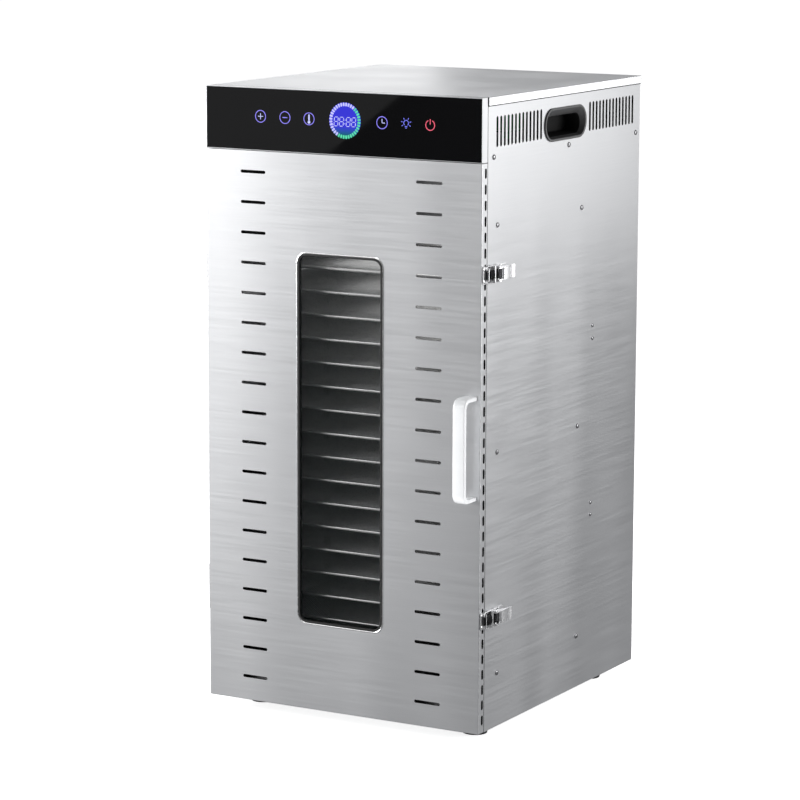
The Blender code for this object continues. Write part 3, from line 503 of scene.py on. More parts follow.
def show(name, mesh, body, replaces=(), matrix=None):
    """Puts a mesh in the scene as a piece that rides on a body."""
    obj = add_object(name, mesh, matrix)
    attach(obj, body)
    if replaces:
        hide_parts(*replaces)
    return obj


def new_piece(name, bm, material, body, replaces=(), sharp=35):
    """Makes a bmesh a piece. Edges that turn by more than sharp degrees stay sharp."""
    return show(name, new_mesh(name, bm, material, sharp), body, replaces)


def modify(obj, kind, **settings):
    """Adds a modifier with its settings."""
    modifier = obj.modifiers.new(kind.lower(), kind)
    for label, value in settings.items():
        setattr(modifier, label, value)


def thicken(obj):
    """Gives a folded skin its thickness, inwards, with its cut edges and the walls of its holes painted
    near black as shade, and evenly shaded flats.
    """
    obj.data.materials.append(painted_shade_black)
    uses = Counter(key for face in obj.data.polygons for key in face.edge_keys)
    for edge in obj.data.edges:
        if uses[edge.key] == 1:
            edge.use_edge_sharp = True
    modify(obj, "SOLIDIFY", material_offset_rim=1, thickness=SHEET, offset=-1, use_even_offset=True)
    modify(obj, "WEIGHTED_NORMAL", mode="FACE_AREA", weight=100, keep_sharp=True)


def soften(node, material, width):
    """Keeps a CAD node: gives it its finish and small round edges."""
    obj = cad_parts[node]
    obj.data.materials.clear()
    obj.data.materials.append(material)
    obj.data.attributes.remove(obj.data.attributes["custom_normal"])
    obj.data.shade_smooth()
    modify(obj, "WELD", merge_threshold=0.00001)
    modify(obj, "BEVEL", width=width, segments=2, limit_method="ANGLE", angle_limit=math.radians(38),
           harden_normals=True)


def add_folded_box(bm, low, high, bend, open_faces, holed=()):
    """The skin of a folded sheet box: round bends, some faces left open and some with holes.

    open_faces and the keys of holed are face directions such as "-Y". Holes are outlines in the
    face's own plane.
    """
    start = len(bm.faces)
    add_box(bm, low, high)
    faces = list(bm.faces)[start:]
    bmesh.ops.recalc_face_normals(bm, faces=faces)
    open_normals = [direction(name) for name in open_faces]

    def is_open(face):
        return any(face.normal.dot(normal) > FACING for normal in open_normals)

    bent = [e for e in {e for f in faces for e in f.edges} if not any(is_open(f) for f in e.link_faces)]
    bmesh.ops.bevel(bm, geom=bent, offset=bend, segments=4, profile=0.5, affect="EDGES")
    bmesh.ops.delete(bm, geom=[face for face in bm.faces if is_open(face)], context="FACES")
    for name, holes in dict(holed).items():
        normal = direction(name)
        face = max((f for f in bm.faces if f.normal.dot(normal) > FACING), key=lambda f: f.calc_area())
        plane = "XYZ".replace(name[1], "")
        (across,), (first, second) = axes(name[1]), axes(plane)
        outline = [(v.co[first], v.co[second]) for v in face.verts]
        level = face.verts[0].co[across]
        bmesh.ops.delete(bm, geom=[face], context="FACES_ONLY")
        add_holed_face(bm, outline, holes, plane, level)
    merge(bm)


def direction(name):
    """The unit vector that a name such as "-Y" stands for."""
    normal = Vector((0, 0, 0))
    normal["XYZ".index(name[1])] = 1 if name[0] == "+" else -1
    return normal


def add_plate(bm, outline, holes, plane, level, thickness):
    """A flat sheet with holes, closed all round. Its far face, its outer edge and its holes' walls take
    the second material, painted near black as shade.
    """
    add_holed_face(bm, outline, holes, plane, level)
    outer = len(bm.faces)
    add_holed_face(bm, outline, holes, plane, level + thickness)
    for loop in [outline, *holes]:
        add_loft(bm, [lift(loop, level, plane), lift(loop, level + thickness, plane)], capped=False)
    bm.faces.ensure_lookup_table()
    # The far face and the walls get material 1, the painted shade.
    for face in bm.faces[outer:]:
        face.material_index = 1
    merge(bm)


# Door


def door_slots():
    """The two columns of slots beside the window."""
    levels = [FIRST_DOOR_SLOT + row * DOOR_SLOT_PITCH for row in range(DOOR_SLOTS)]
    columns = [WINDOW_MIDDLE[0] + sign * DOOR_SLOT_REACH for sign in (-1, 1)]
    return [slot_shape((x, level), *DOOR_SLOT) for level in levels for x in columns]


def edge_slots():
    """The column of slots in the door's right edge."""
    levels = [FIRST_EDGE_SLOT + row * EDGE_SLOT_PITCH for row in range(EDGE_SLOTS)]
    return [slot_shape((EDGE_SLOT_MIDDLE, level), *EDGE_SLOT) for level in levels]


def make_door():
    """The folded door pan, with its window, two columns of slots and the slotted right edge."""
    width, height, corner = WINDOW
    window = rounded(WINDOW_MIDDLE, width + 2 * GAP, height + 2 * GAP, corner)
    bm = bmesh.new()
    holed = {"-Y": [window, *door_slots()], "+X": edge_slots()}
    add_folded_box(bm, DOOR_LOW, DOOR_HIGH, BEND, ["+Y"], holed)
    thicken(new_piece("door_skin", bm, front_steel, "door", ["door_panel"]))


def window_ring(out, depth):
    """The window's outline, so much larger all round and so deep."""
    width, height, corner = WINDOW
    return lift(rounded(WINDOW_MIDDLE, width + 2 * out, height + 2 * out, corner + out, 10), depth, "XZ")


def make_gasket():
    """The rubber lining of the window, with a soft lip in front and a seat for the glass."""
    front, back = (corner.y for corner in node_box("window_gasket"))
    lip, wall, seat = 0.0009, 0.0018, 0.0009
    glass_front = node_box("door_window")[0].y - GAP
    profile = [  # (outwards from the opening's edge, depth)
        (0, back), (0, DOOR_LOW.y - 0.0001), (lip, DOOR_LOW.y - 0.0001), (lip, front + 0.0004),
        (lip - 0.0004, front), (-wall + 0.0005, front), (-wall, front + 0.0005),
        (-wall, glass_front), (-seat, glass_front), (-seat, back),
    ]
    bm = bmesh.new()
    add_loop_loft(bm, [window_ring(out, depth) for out, depth in profile])
    new_piece("window_gasket_skin", bm, black_rubber, "door", ["window_gasket"])


def make_window_bead():
    """The bead pressed in the door's sheet around the gasket, in a lighter steel than the sheet: a
    painted highlight.
    """
    profile = ((0.0011, 0), (0.0013, 0.0006), (0.0019, 0.0009), (0.0026, 0.0007), (0.0031, 0))
    bm = bmesh.new()
    add_loft(bm, [window_ring(out, DOOR_LOW.y - proud) for out, proud in profile], capped=False)
    new_piece("window_bead", bm, bead_steel_painted_highlight, "door")


def make_handle():
    """A moulded white strap, hollow behind, bent down to the door at both ends."""
    low, high = node_box("door_handle")
    x, width = node_middle("door_handle").x, high.x - low.x
    strap, bend, wall, crown, crown_half = 0.005, 0.013, 0.0016, 0.0003, 0.004
    inset, steps = bend - strap / 2, 12
    path = [(high.y, high.z - strap / 2)]
    path += arc((low.y + bend, high.z - bend), inset, 90, 180, steps)
    path += arc((low.y + bend, low.z + bend), inset, 180, 270, steps)
    path.append((high.y, low.z + strap / 2))
    half, thick, corner = width / 2, strap / 2, 0.0016
    section = arc((half - corner, thick - corner), corner, 0, 90, 5)
    section += [(crown_half, thick + crown), (-crown_half, thick + crown)]
    section += arc((-half + corner, thick - corner), corner, 90, 180, 5)
    section += [(-half, -thick), (-half + wall, -thick), (-half + wall, thick - 2 * wall)]
    section += [(half - wall, thick - 2 * wall), (half - wall, -thick), (half, -thick)]
    route, right = [Vector((x, y, z)) for y, z in path], Vector((1, 0, 0))
    rings = []
    for n, point in enumerate(route):
        out = heading(route, n).cross(right).normalized()
        rings.append([point + right * u + out * v for u, v in section])
    bm = bmesh.new()
    add_loft(bm, rings)
    seat_depth = 0.010
    for level in (high.z - strap / 2, low.z + strap / 2):
        seat = rounded((x, level), width - 0.0004, strap - 0.0002, 0.0012, 5)
        add_prism(bm, seat, high.y - seat_depth, seat_depth, "XZ")
    new_piece("door_handle_skin", bm, white_plastic, "door", ["door_handle"])


# Cabinet


def make_side(side, sign):
    """A side sheet with its vent slots and the carrying cup's opening."""
    holes = [
        slot_shape((first + n * pitch, VENT_LEVEL), *VENT_SLOT)
        for first, count, pitch in VENT_GROUPS
        for n in range(count)
    ]
    smaller = 2 * (PLATE_LIP - GAP)
    holes.append(slot_shape(CUP, CUP_LENGTH - smaller, CUP_HEIGHT - smaller, 12))
    name = f"side_panel_{side}"
    bm = bmesh.new()
    add_plate(bm, box_outline(*node_box(name), "YZ"), holes, "YZ", sign * SIDE, -sign * SHEET)
    sheet = new_piece(f"side_sheet_{side}", bm, side_steel, "cabinet", [name])
    # The second material paints the far face and the slots' walls near black: painted shade.
    sheet.data.materials.append(painted_shade_black)


def make_cup(side, sign):
    """The moulded carrying cup: a flat lip, a chamfered mouth and a deep, slightly offset pocket whose
    deepest walls and floor are painted near black as shade.
    """
    name = f"carry_handle_{side}"
    low, high = node_box(name)
    face = high.x if sign > 0 else low.x
    pocket_middle, pocket_rings = (CUP[0] + 0.0020, CUP[1] - 0.0028), 4
    lip, wall, chamfer = 0.0015, 0.0015, 0.0048
    body = PLATE_LIP + GAP
    pocket = body + chamfer
    profile = [  # (inwards from the lip's edge, depth below the face)
        (body, CUP_DEPTH + lip), (body, lip), (0.0004, lip), (0, lip - 0.0004), (0, 0.0004),
        (0.0004, 0), (0.0026, 0), (0.0032, 0.0003), (pocket, 0.0075), (pocket + 0.001, 0.010),
        (pocket + 0.002, CUP_DEPTH - wall - 0.001), (pocket + 0.003, CUP_DEPTH - wall),
    ]
    rings = []
    for inwards, depth in profile:
        middle = pocket_middle if inwards >= pocket else CUP
        outline = slot_shape(middle, CUP_LENGTH - 2 * inwards, CUP_HEIGHT - 2 * inwards, 12)
        rings.append(lift(outline, face - sign * depth, "YZ"))
    bm = bmesh.new()
    add_loft(bm, rings)
    bm.faces.ensure_lookup_table()
    # The deepest walls and the floor of the pocket take the near-black second material: painted shade in
    # the hollow.
    first_painted_shade_face = (len(profile) - pocket_rings) * len(rings[0])
    for face in bm.faces[first_painted_shade_face:]:
        face.material_index = 1
    cup = new_piece(name + "_skin", bm, mouth_plastic, "cabinet", [name], sharp=25)
    cup.data.materials.append(painted_shade_black)


def make_top():
    """The lid, folded down over the sides and the back."""
    low, high = node_box("top_cover")
    bm = bmesh.new()
    add_folded_box(bm, low, high, BEND, ["-Z", "-Y"])
    thicken(new_piece("top_cover_skin", bm, top_steel, "cabinet", ["top_cover"]))


def make_seam_shadow_strips():
    """Black strips put in the seams as painted shadow: below the lid's folds and behind the door's edge.
    """
    low = node_box("top_cover")[0]
    front, back = (corner.y for corner in node_box("side_panel_right"))
    bm = bmesh.new()
    # Strips under the lid's folds: painted shadow lines.
    for left in (-SIDE - 0.0007, SIDE + 0.0001):
        add_box(bm, (left, front, low.z - 0.0013), (left + 0.0006, back, low.z + 0.0002))
    new_piece("cover_seam_painted_shadow", bm, black_rubber, "cabinet")
    # Strips behind the door's edge, seen through the seam: painted shade in the gap.
    bm = bmesh.new()
    inset, width = 0.0005, 0.004
    outer, bottom, top = SIDE - inset, DOOR_LOW.z + inset, DOOR_HIGH.z - inset
    near, far = -0.0010, -0.0002
    for left in (-outer, outer - width):
        add_box(bm, (left, near, bottom), (left + width, far, top))
    inner = outer - width - 0.0001
    for level in (bottom, top - width):
        add_box(bm, (-inner, near, level), (inner, far, level + width))
    new_piece("door_seam_painted_shadow", bm, black_rubber, "cabinet")


def make_back():
    """The rear sheet: round-ended intake slots behind each fan, and the inlet's opening."""
    rows, pitch, slot_height, reach = 9, 0.016, 0.0036, 0.080
    inlet_width, inlet_height, inlet_corner = 0.0278, 0.0206, 0.0006
    holes = []
    for level in FAN_LEVELS.values():
        for row in range(rows):
            rise = (row - (rows - 1) / 2) * pitch
            length = 2 * math.sqrt(reach**2 - rise**2)
            holes.append(slot_shape((0, level + rise), length, slot_height))
    inlet = node_middle("power_inlet")
    holes.append(rounded((inlet.x, inlet.z), inlet_width, inlet_height, inlet_corner, 3))
    low, high = node_box("back_panel")
    bm = bmesh.new()
    add_plate(bm, box_outline(low, high, "XZ"), holes, "XZ", high.y, low.y - high.y)
    sheet = new_piece("back_sheet", bm, front_steel, "cabinet", ["back_panel"])
    # The second material paints the far face and the slots' walls near black: painted shade.
    sheet.data.materials.append(painted_shade_black)


def make_feet():
    """Turned rubber feet with a rolled lower edge and a ring groove."""
    for name in (f"foot_{end}_{side}" for end in ("front", "rear") for side in ("left", "right")):
        low, high = node_box(name)
        radius, height = (high.x - low.x) / 2, high.z - low.z
        sole = radius - 0.003
        profile = [
            (0.0005, 0), (0.008, 0), (0.0085, 0.0008), (sole - 0.002, 0.0008), (sole - 0.0015, 0),
            (sole - 0.0004, 0.0003), (sole, 0.0015), (radius - 0.0006, height - 0.0052),
            (radius - 0.0012, height - 0.0046), (radius, height - 0.0040), (radius, height - 0.0006),
            (radius - 0.0006, height), (0.0005, height),
        ]
        bm = bmesh.new()
        add_lathe(bm, profile, (*node_middle(name).xy, low.z), (0, 0, 1), 48)
        new_piece(name + "_skin", bm, black_rubber, "cabinet", [name])


# Trays


def make_trays():
    """Sixteen trays that share one mesh: a folded rim around a floor of crossed wires."""
    low, high = node_box("tray_01")
    wide, long, rim = high.x - low.x, high.y - low.y, high.z - low.z
    middle = node_middle("tray_01").xy
    band, corner = 0.004, 0.006
    bm = bmesh.new()
    profile = [  # (inwards, up)
        (0.0006, 0), (0, 0.0006), (0, rim - 0.0006), (0.0006, rim), (band - 0.0004, rim),
        (band, rim - 0.0004), (band, 0.0014), (band - 0.0008, 0.0014), (band - 0.0008, 0),
    ]
    rings = []
    for inwards, up in profile:
        outline = rounded(middle, wide - 2 * inwards, long - 2 * inwards, corner - inwards, 5)
        rings.append(lift(outline, low.z + up, "XY"))
    add_loop_loft(bm, rings)
    pitch, radius, sides, edge = 0.0040, 0.00034, 6, band - 0.0006
    first, upper, lower = 0.75 * pitch, 3.0 * radius, 1.2 * radius
    for n in range(int((long - 2 * band) / pitch)):
        y = low.y + band + first + n * pitch
        ends = [Vector((x, y, low.z + upper)) for x in (low.x + edge, high.x - edge)]
        add_wire(bm, ends, radius, sides)
    for n in range(int((wide - 2 * band) / pitch)):
        x = low.x + band + first + n * pitch
        ends = [Vector((x, y, low.z + lower)) for y in (low.y + edge, high.y - edge)]
        add_wire(bm, ends, radius, sides)
    mesh = new_mesh("tray_frame_and_wires", bm, tray_steel, 50)
    for number in range(1, 17):
        node = f"tray_{number:02d}"
        place = Matrix.Translation((0, 0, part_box(node)[0].z - low.z))
        show(f"{node}_woven", mesh, node, [node], place)


# Control panel


def add_stroke(bm, outline):
    """A flat lit shape just in front of the touch glass."""
    add_prism(bm, outline, GLASS_LOW.y - LIT_GAP, -LIT_DEPTH, "XZ")


def add_ring(bm, middle, radius, width, start=0, end=360):
    """A ring, or part of one, in front of the touch glass."""
    step_angle = 9
    steps = int((end - start) / step_angle)
    if end - start < 360:
        outer = arc(middle, radius, start, end, steps)
        add_stroke(bm, outer + arc(middle, radius - width, end, start, steps))
        return
    outer, inner = (arc(middle, r, start, end, steps)[:-1] for r in (radius, radius - width))
    near = GLASS_LOW.y - LIT_GAP
    far = near - LIT_DEPTH
    corners = ((outer, near), (outer, far), (inner, far), (inner, near))
    add_loop_loft(bm, [lift(circle, depth, "XZ") for circle, depth in corners])


def along_angle(middle, distance, angle):
    """The point at a distance from a middle, in a direction in degrees."""
    return arc(middle, distance, angle, angle, 1)[0]


def bar(middle, width, height, angle=0.0):
    """Outline of a bar with round ends, turned by an angle in degrees."""
    turn = Matrix.Rotation(math.radians(angle), 2)
    outline = slot_shape((0, 0), width, height, 3)
    return [tuple(turn @ Vector(point) + Vector(middle)) for point in outline]


def lit(name, bm, colour):
    """Makes a bmesh a lit piece of the control panel."""
    new_piece(name, bm, lights[colour], "cabinet")


def add_bars(bm, middle, bars):
    """Bars around a symbol's middle, each given as right, up, width and height."""
    for right, up, width, height in bars:
        add_stroke(bm, bar((middle[0] + right, middle[1] + up), width, height))


def make_symbols():
    """Six touch symbols: more, less, temperature, timer, lamp and power."""
    more, less, heat, timer, lamp, power = ((x, SYMBOL_LEVEL) for x in ICONS)
    bm = bmesh.new()
    for middle in (more, less, heat, timer):
        add_ring(bm, middle, 0.0080, 0.0010)
    lit("symbol_rings", bm, "violet")
    plain = (
        ("more", "white", more, [
            (0, 0, 0.0078, 0.0009), (0, -0.00225, 0.0009, 0.0034), (0, 0.00225, 0.0009, 0.0034)]),
        ("less", "violet", less, [(0, 0, 0.0075, 0.0011)]),
        ("temperature", "white", heat, [(0, 0.0014, 0.0021, 0.0085), (0, -0.0042, 0.0038, 0.0038)]),
        ("timer", "white", timer, [(0, 0.0021, 0.0010, 0.0052), (0.0024, -0.0003, 0.0038, 0.0010)]),
    )
    for name, colour, middle, bars in plain:
        bm = bmesh.new()
        add_bars(bm, middle, bars)
        lit(f"symbol_{name}", bm, colour)
    bm = bmesh.new()
    add_ring(bm, (lamp[0], lamp[1] + 0.0012), 0.0038, 0.0009, -50, 230)
    add_bars(bm, lamp, [(0, -0.0032, 0.0036, 0.0010), (0, -0.0050, 0.0026, 0.0009)])
    for angle in (-30, 15, 60, 120, 165, 210):
        ray = along_angle((lamp[0], lamp[1] + 0.0010), 0.0062, angle)
        add_stroke(bm, bar(ray, 0.0024, 0.0009, angle))
    lit("symbol_lamp", bm, "blue")
    bm = bmesh.new()
    add_ring(bm, power, 0.0068, 0.0011, 115, 425)
    add_bars(bm, power, [(0, 0.0042, 0.0011, 0.0068)])
    lit("symbol_power", bm, "red")


def make_display():
    """The round display: a blue field, a ring of dashes and four digits with a colon."""
    disc, ring, dash, dashes = 0.0228, 0.0204, (0.0047, 0.0026), 36
    green_from, green_to = 240, 50
    bm = bmesh.new()
    add_prism(bm, arc(DISPLAY, disc, 0, 360, 64)[:-1], GLASS_LOW.y - LIT_GAP / 2, -LIT_GAP, "XZ")
    new_piece("display_disc", bm, display_field, "cabinet")
    greens, pales = bmesh.new(), bmesh.new()
    for n in range(dashes):
        angle = 360 * (n + 0.5) / dashes
        outline = bar(along_angle(DISPLAY, ring, angle), *dash, angle)
        add_stroke(greens if angle > green_from or angle < green_to else pales, outline)
    lit("display_dashes_green", greens, "green")
    lit("display_dashes_pale", pales, "pale")
    bm = bmesh.new()
    for start in (-0.0160, -0.0082, 0.0016, 0.0094):
        add_digit(bm, DISPLAY[0] + start, DISPLAY[1] - 0.0070)
    dot, lean = 0.0012, 0.12
    add_bars(bm, DISPLAY, [(rise * lean, rise - 0.0014, dot, dot) for rise in (-0.0024, 0.0024)])
    lit("display_digits", bm, "white")


def add_digit(bm, left, low):
    """The figure 8 in seven leaning segments."""
    width, half, stroke, lean = 0.0055, 0.0056, 0.0009, 0.08
    gap = 0.75 * stroke
    strokes = [((width / 2, level * half), width - 2 * gap, stroke) for level in range(3)]
    for level in (0.5, 1.5):
        strokes += [((x, level * half), stroke, half - 2 * gap) for x in (0, width)]
    for (x, z), wide, tall in strokes:
        outline = [(left + u + lean * v, low + v) for u, v in slot_shape((x, z), wide, tall, 2)]
        add_stroke(bm, outline)


# Latches and the lamp's lens


def add_coil(bm, middle, axis, across, length, coils):
    """A close-wound spring along "Y" or "Z". across holds its two half widths, X first."""
    wire, steps = 0.0005, 14
    x, y, z = middle
    path = []
    for n in range(coils * steps + 1):
        angle = 2 * math.pi * n / steps
        along = length * (n / (coils * steps) - 0.5)
        u, v = across[0] * math.cos(angle), across[1] * math.sin(angle)
        path.append(Vector((x + u, y + along, z + v) if axis == "Y" else (x + u, y + v, z + along)))
    add_wire(bm, path, wire, 6)


def add_bent_strip(bm, line, thickness, low, high):
    """A strip of sheet that follows points (x, y) as a bent line, from one level to another."""
    path = [Vector(point) for point in line]
    across = [heading(path, n).orthogonal() * thickness / 2 for n in range(len(path))]
    near = [tuple(point + side) for point, side in zip(path, across)]
    far = [tuple(point - side) for point, side in zip(path, across)]
    add_prism(bm, near + far[::-1], low, high - low, "XY")


def add_rivet(bm, place, radius, height, axis=(1, 0, 0)):
    """A domed head."""
    dome = [(radius, 0), (0.92 * radius, 0.5 * height), (0.6 * radius, 0.9 * height), (TIP, height)]
    add_lathe(bm, dome, place, axis, 20)


def make_latch_base(level, place):
    """The base plate on the side panel: rounded, riveted, with two ears and a headed pin."""
    name = f"latch_base_{level}"
    start, (x, y) = SIDE + GAP, LEVER_AXIS
    plate, ear_sheet, ear_reach, ear_foot = 0.0012, 0.001, 0.0093, 0.0060
    bm = bmesh.new()
    add_prism(bm, rounded((0.027, place), 0.042, 0.020, 0.003), start, plate, "YZ")
    ear = arc((x, y), 0.0045, -90, 90, 12)
    ear += [(start + ear_sheet, y + ear_foot), (start + ear_sheet, y - ear_foot)]
    for low in (place - ear_reach, place + ear_reach - ear_sheet):
        add_prism(bm, ear, low, ear_sheet, "XY")
    add_pin(bm, (x, y, place), PIN, ear_reach + 0.0001, 16)
    for sign in (-1, 1):
        add_rivet(bm, (x, y, place + sign * ear_reach), 0.0022, 0.0009, (0, 0, sign))
    for along in (0.034, 0.044):
        add_rivet(bm, (start + plate, along, place), 0.0026, 0.0011)
    new_piece(name + "_plate", bm, latch_steel, "cabinet", [name])


def make_latch_lever(level, place):
    """The lever: two cheeks joined by a bowed plate with a curled tab, open over its spring."""
    name, body = f"latch_lever_{level}", f"lever_{level}"
    x, y = LEVER_AXIS
    bail_x, bail_y = BAIL_AXIS
    cheek_round, cheek_reach, cheek_sheet, bail_reach = 0.0042, 0.0080, 0.0012, 0.0106
    outboard = x + cheek_round
    cheek = arc((x, y), cheek_round, 180, 330, 12)
    cheek += [(outboard, y + 0.004), (outboard, y + 0.026), (outboard - 0.0012, y + 0.030)]
    cheek += [(bail_x + 0.0005, bail_y + 0.006)] + arc((bail_x, bail_y), 0.0021, 60, 180, 6)
    bm = bmesh.new()
    for low in (place - cheek_reach, place + cheek_reach - cheek_sheet):
        add_prism(bm, cheek, low, cheek_sheet, "XY")
    bow = (  # (below the lever's highest line, back from the seam)
        (0.0016, 0.0250), (0.0003, 0.0256), (0, 0.0280), (0, 0.0380), (0.0006, 0.0420), (0.0016, 0.0440),
        (0.0018, 0.0460), (0.0017, 0.0500), (0.0010, 0.0528), (0.0006, 0.0536),
    )
    line = [(outboard - below, back) for below, back in bow]
    add_bent_strip(bm, line, 0.0010, place - cheek_reach + 0.0001, place + cheek_reach - 0.0001)
    for sign in (-1, 1):
        add_rivet(bm, (bail_x, bail_y, place + sign * bail_reach), 0.0018, 0.0008, (0, 0, sign))
    add_pin(bm, (bail_x, bail_y, place), PIN, bail_reach + 0.0002, 16)
    new_piece(name + "_channel", bm, latch_steel, body, [name])
    bm = bmesh.new()
    add_coil(bm, (x, 0.0186, place), "Z", (0.0028, 0.0058), 0.0120, 9)
    new_piece(name + "_spring", bm, spring_steel, body)


def make_latch_bail(level, place):
    """The bail: a bent wire loop with eyes, a bright cross bar and a flat spring at its middle."""
    name, body = f"latch_bail_{level}", f"bail_{level}"
    (x, y), (bar_x, bar_y) = BAIL_AXIS, BAIL_BAR
    half, wire, corner = 0.0105, 0.0007, 0.0022
    bm = bmesh.new()
    loop = [(x, y, -half), (x, y - 0.006, -half), (bar_x, bar_y + corner, -half)]
    loop += [(bar_x, bar_y + corner * 0.3, -half + corner * 0.3), (bar_x, bar_y, -half + corner)]
    loop += [(px, py, -pz) for px, py, pz in reversed(loop)]
    add_wire(bm, [Vector((px, py, place + pz)) for px, py, pz in loop], wire, 10)
    outer, inner = 0.0020, 0.0014
    eye = [(outer, -wire), (outer, wire), (inner, wire), (inner, -wire), (outer, -wire)]
    for sign in (-1, 1):
        add_lathe(bm, eye, (x, y, place + sign * half), (0, 0, 1), 20)
    arch = ((0.0020, 0.0072), (0.0032, 0.0080), (0.0034, 0.0095), (0.0026, 0.0112))
    cross = [(bar_x + out, back) for out, back in arch]
    add_bent_strip(bm, cross, 0.0009, place - half, place + half)
    new_piece(name + "_loop", bm, latch_steel, body, [name])
    bm = bmesh.new()
    add_coil(bm, (bar_x + 0.0022, 0.0012, place), "Y", (0.0016, 0.0052), 0.0112, 11)
    add_pin(bm, (bar_x, bar_y, place), PIN, 0.0054, 14)
    new_piece(name + "_spring", bm, spring_steel, body)


def make_latch_keeper(level, place):
    """The keeper on the door's edge: a rounded plate, two rivets and a hooked tab."""
    name = f"latch_keeper_{level}"
    start, front, plate = SIDE + GAP, BAIL_BAR[1] + 0.0013, 0.0012
    bm = bmesh.new()
    add_prism(bm, rounded((-0.0075, place), 0.012, 0.022, 0.0025), start, plate, "YZ")
    hook = [(start + 0.0010, front + 0.0006), (start + 0.0046, front + 0.0006), (start + 0.0058, front)]
    add_bent_strip(bm, hook, 0.0010, place - 0.0078, place + 0.0078)
    for sign in (-1, 1):
        add_rivet(bm, (start + plate, -0.0110, place + sign * 0.0075), 0.0020, 0.0009)
    new_piece(name + "_plate", bm, latch_steel, "door", [name])


def make_lamp_lens():
    """The lamp's ribbed lens, lit from inside."""
    lamp, level = node_middle("chamber_lamp"), node_box("chamber_lamp")[0].z + 0.0004
    bm = bmesh.new()
    for rib in range(-4, 5):
        outline = rounded((lamp.x, lamp.y + rib * 0.0024), 0.048, 0.0021, 0.0009, 3)
        add_prism(bm, outline, level, -0.0008, "XY")
    new_piece("lamp_lens_ribs", bm, lamp_light, "cabinet")


# Screws


def screw_mesh():
    """A domed head that faces +Z, with its seat at the origin."""
    radius, height = 0.0034, 0.0016
    profile = [
        (radius, 0), (radius, 0.0004), (0.92 * radius, 0.0010), (0.7 * radius, 0.0014),
        (0.35 * radius, height), (TIP, height + 0.00005),
    ]
    bm = bmesh.new()
    add_lathe(bm, profile, (0, 0, 0), (0, 0, 1), 24)
    return new_mesh("screw_head", bm, screw_steel, 50, Vector((0, 0, 0)))


def cross_cut(mesh):
    """Cuts the driver's cross in the screw's head once, so that every screw shares it."""
    obj = add_object("screw_master", mesh)
    length, width, floor, over = 0.0038, 0.0008, 0.0007, 0.004
    bm = bmesh.new()
    for wide, tall in ((length, width), (width, length)):
        add_box(bm, (-wide / 2, -tall / 2, floor), (wide / 2, tall / 2, over))
    bmesh.ops.recalc_face_normals(bm, faces=bm.faces)
    cutter = add_object("cross", bake("cross", bm))
    modify(obj, "BOOLEAN", object=cutter, solver="EXACT", use_self=True)
    graph = bpy.context.evaluated_depsgraph_get()
    result = bpy.data.meshes.new_from_object(obj.evaluated_get(graph))
    bpy.data.objects.remove(obj)
    bpy.data.objects.remove(cutter)
    return result


def make_screws(group, places, normal, body, mesh, scale=1.0):
    """Screw heads at cabinet-frame places, each turned its own way."""
    face = Vector((0, 0, 1)).rotation_difference(Vector(normal)).to_matrix().to_4x4()
    for number, place in enumerate(places, 1):
        spin = Matrix.Rotation(draws.uniform(0, math.pi / 2), 4, "Z")
        matrix = Matrix.Translation(Vector(place) + SHIFT) @ face @ spin @ Matrix.Scale(scale, 4)
        show(f"screw_{group}_{number}", mesh, body, matrix=matrix)


SIDE_SCREWS = (  # (back from the seam, above the body's bottom)
    (0.0150, 0.7258), (0.220, 0.7247), (0.4174, 0.725), (0.0260, 0.641), (0.259, 0.640),
    (0.0290, 0.3550), (0.254, 0.3530), (0.0330, 0.070), (0.2575, 0.0695),
)
SIDE_RIVETS = ((0.295, 0.481), (0.295, 0.464), (0.2955, 0.2435), (0.2955, 0.2275))


def make_all_screws():
    """The hinges' small screws, those of the sides with the motors' rivets, and those of the back."""
    mesh = cross_cut(screw_mesh())
    small, smaller = 0.75, 0.62
    hinge_face, rises = -SIDE - GAP - 0.001, (-0.022, 0.0, 0.022)
    for level, place in FITTING_LEVELS.items():
        for body, y in (("cabinet", 0.0120), ("door", -0.0095)):
            places = [(hinge_face, y, place + rise) for rise in rises]
            make_screws(f"hinge_{body}_{level}", places, (-1, 0, 0), body, mesh, smaller)
    for side, sign in (("left", -1), ("right", 1)):
        places = [(sign * SIDE, y, BOTTOM + z) for y, z in SIDE_SCREWS]
        make_screws(f"side_{side}", places, (sign, 0, 0), "cabinet", mesh)
        places = [(sign * SIDE, y, BOTTOM + z) for y, z in SIDE_RIVETS]
        make_screws(f"motor_{side}", places, (sign, 0, 0), "cabinet", mesh, small)
    across, inwards, inset, high = SIDE - 0.010, 0.07, 0.03, TOP - 0.03
    places = [(x, BACK, z) for x in (-across, across) for z in (BOTTOM + inset, 0.30, 0.55, high)]
    places += [(x, BACK, z) for x in (-inwards, inwards) for z in (BOTTOM + 0.02, high)]
    make_screws("back", places, (0, 1, 0), "cabinet", mesh)


# Light, floor and camera


def add_light(name, place, aim, size, power, roll=0):
    """A soft rectangular light at a place in the cabinet's frame, turned towards another."""
    data = bpy.data.lights.new(name, "AREA")
    data.shape = "RECTANGLE"
    data.size, data.size_y = size
    data.energy = power
    turn = (Vector(aim) - Vector(place)).to_track_quat("-Z", "Y").to_matrix().to_4x4()
    rolled = turn @ Matrix.Rotation(math.radians(roll), 4, "Z")
    light = add_object(name, data, Matrix.Translation(Vector(place) + SHIFT) @ rolled)
    light.visible_camera = False


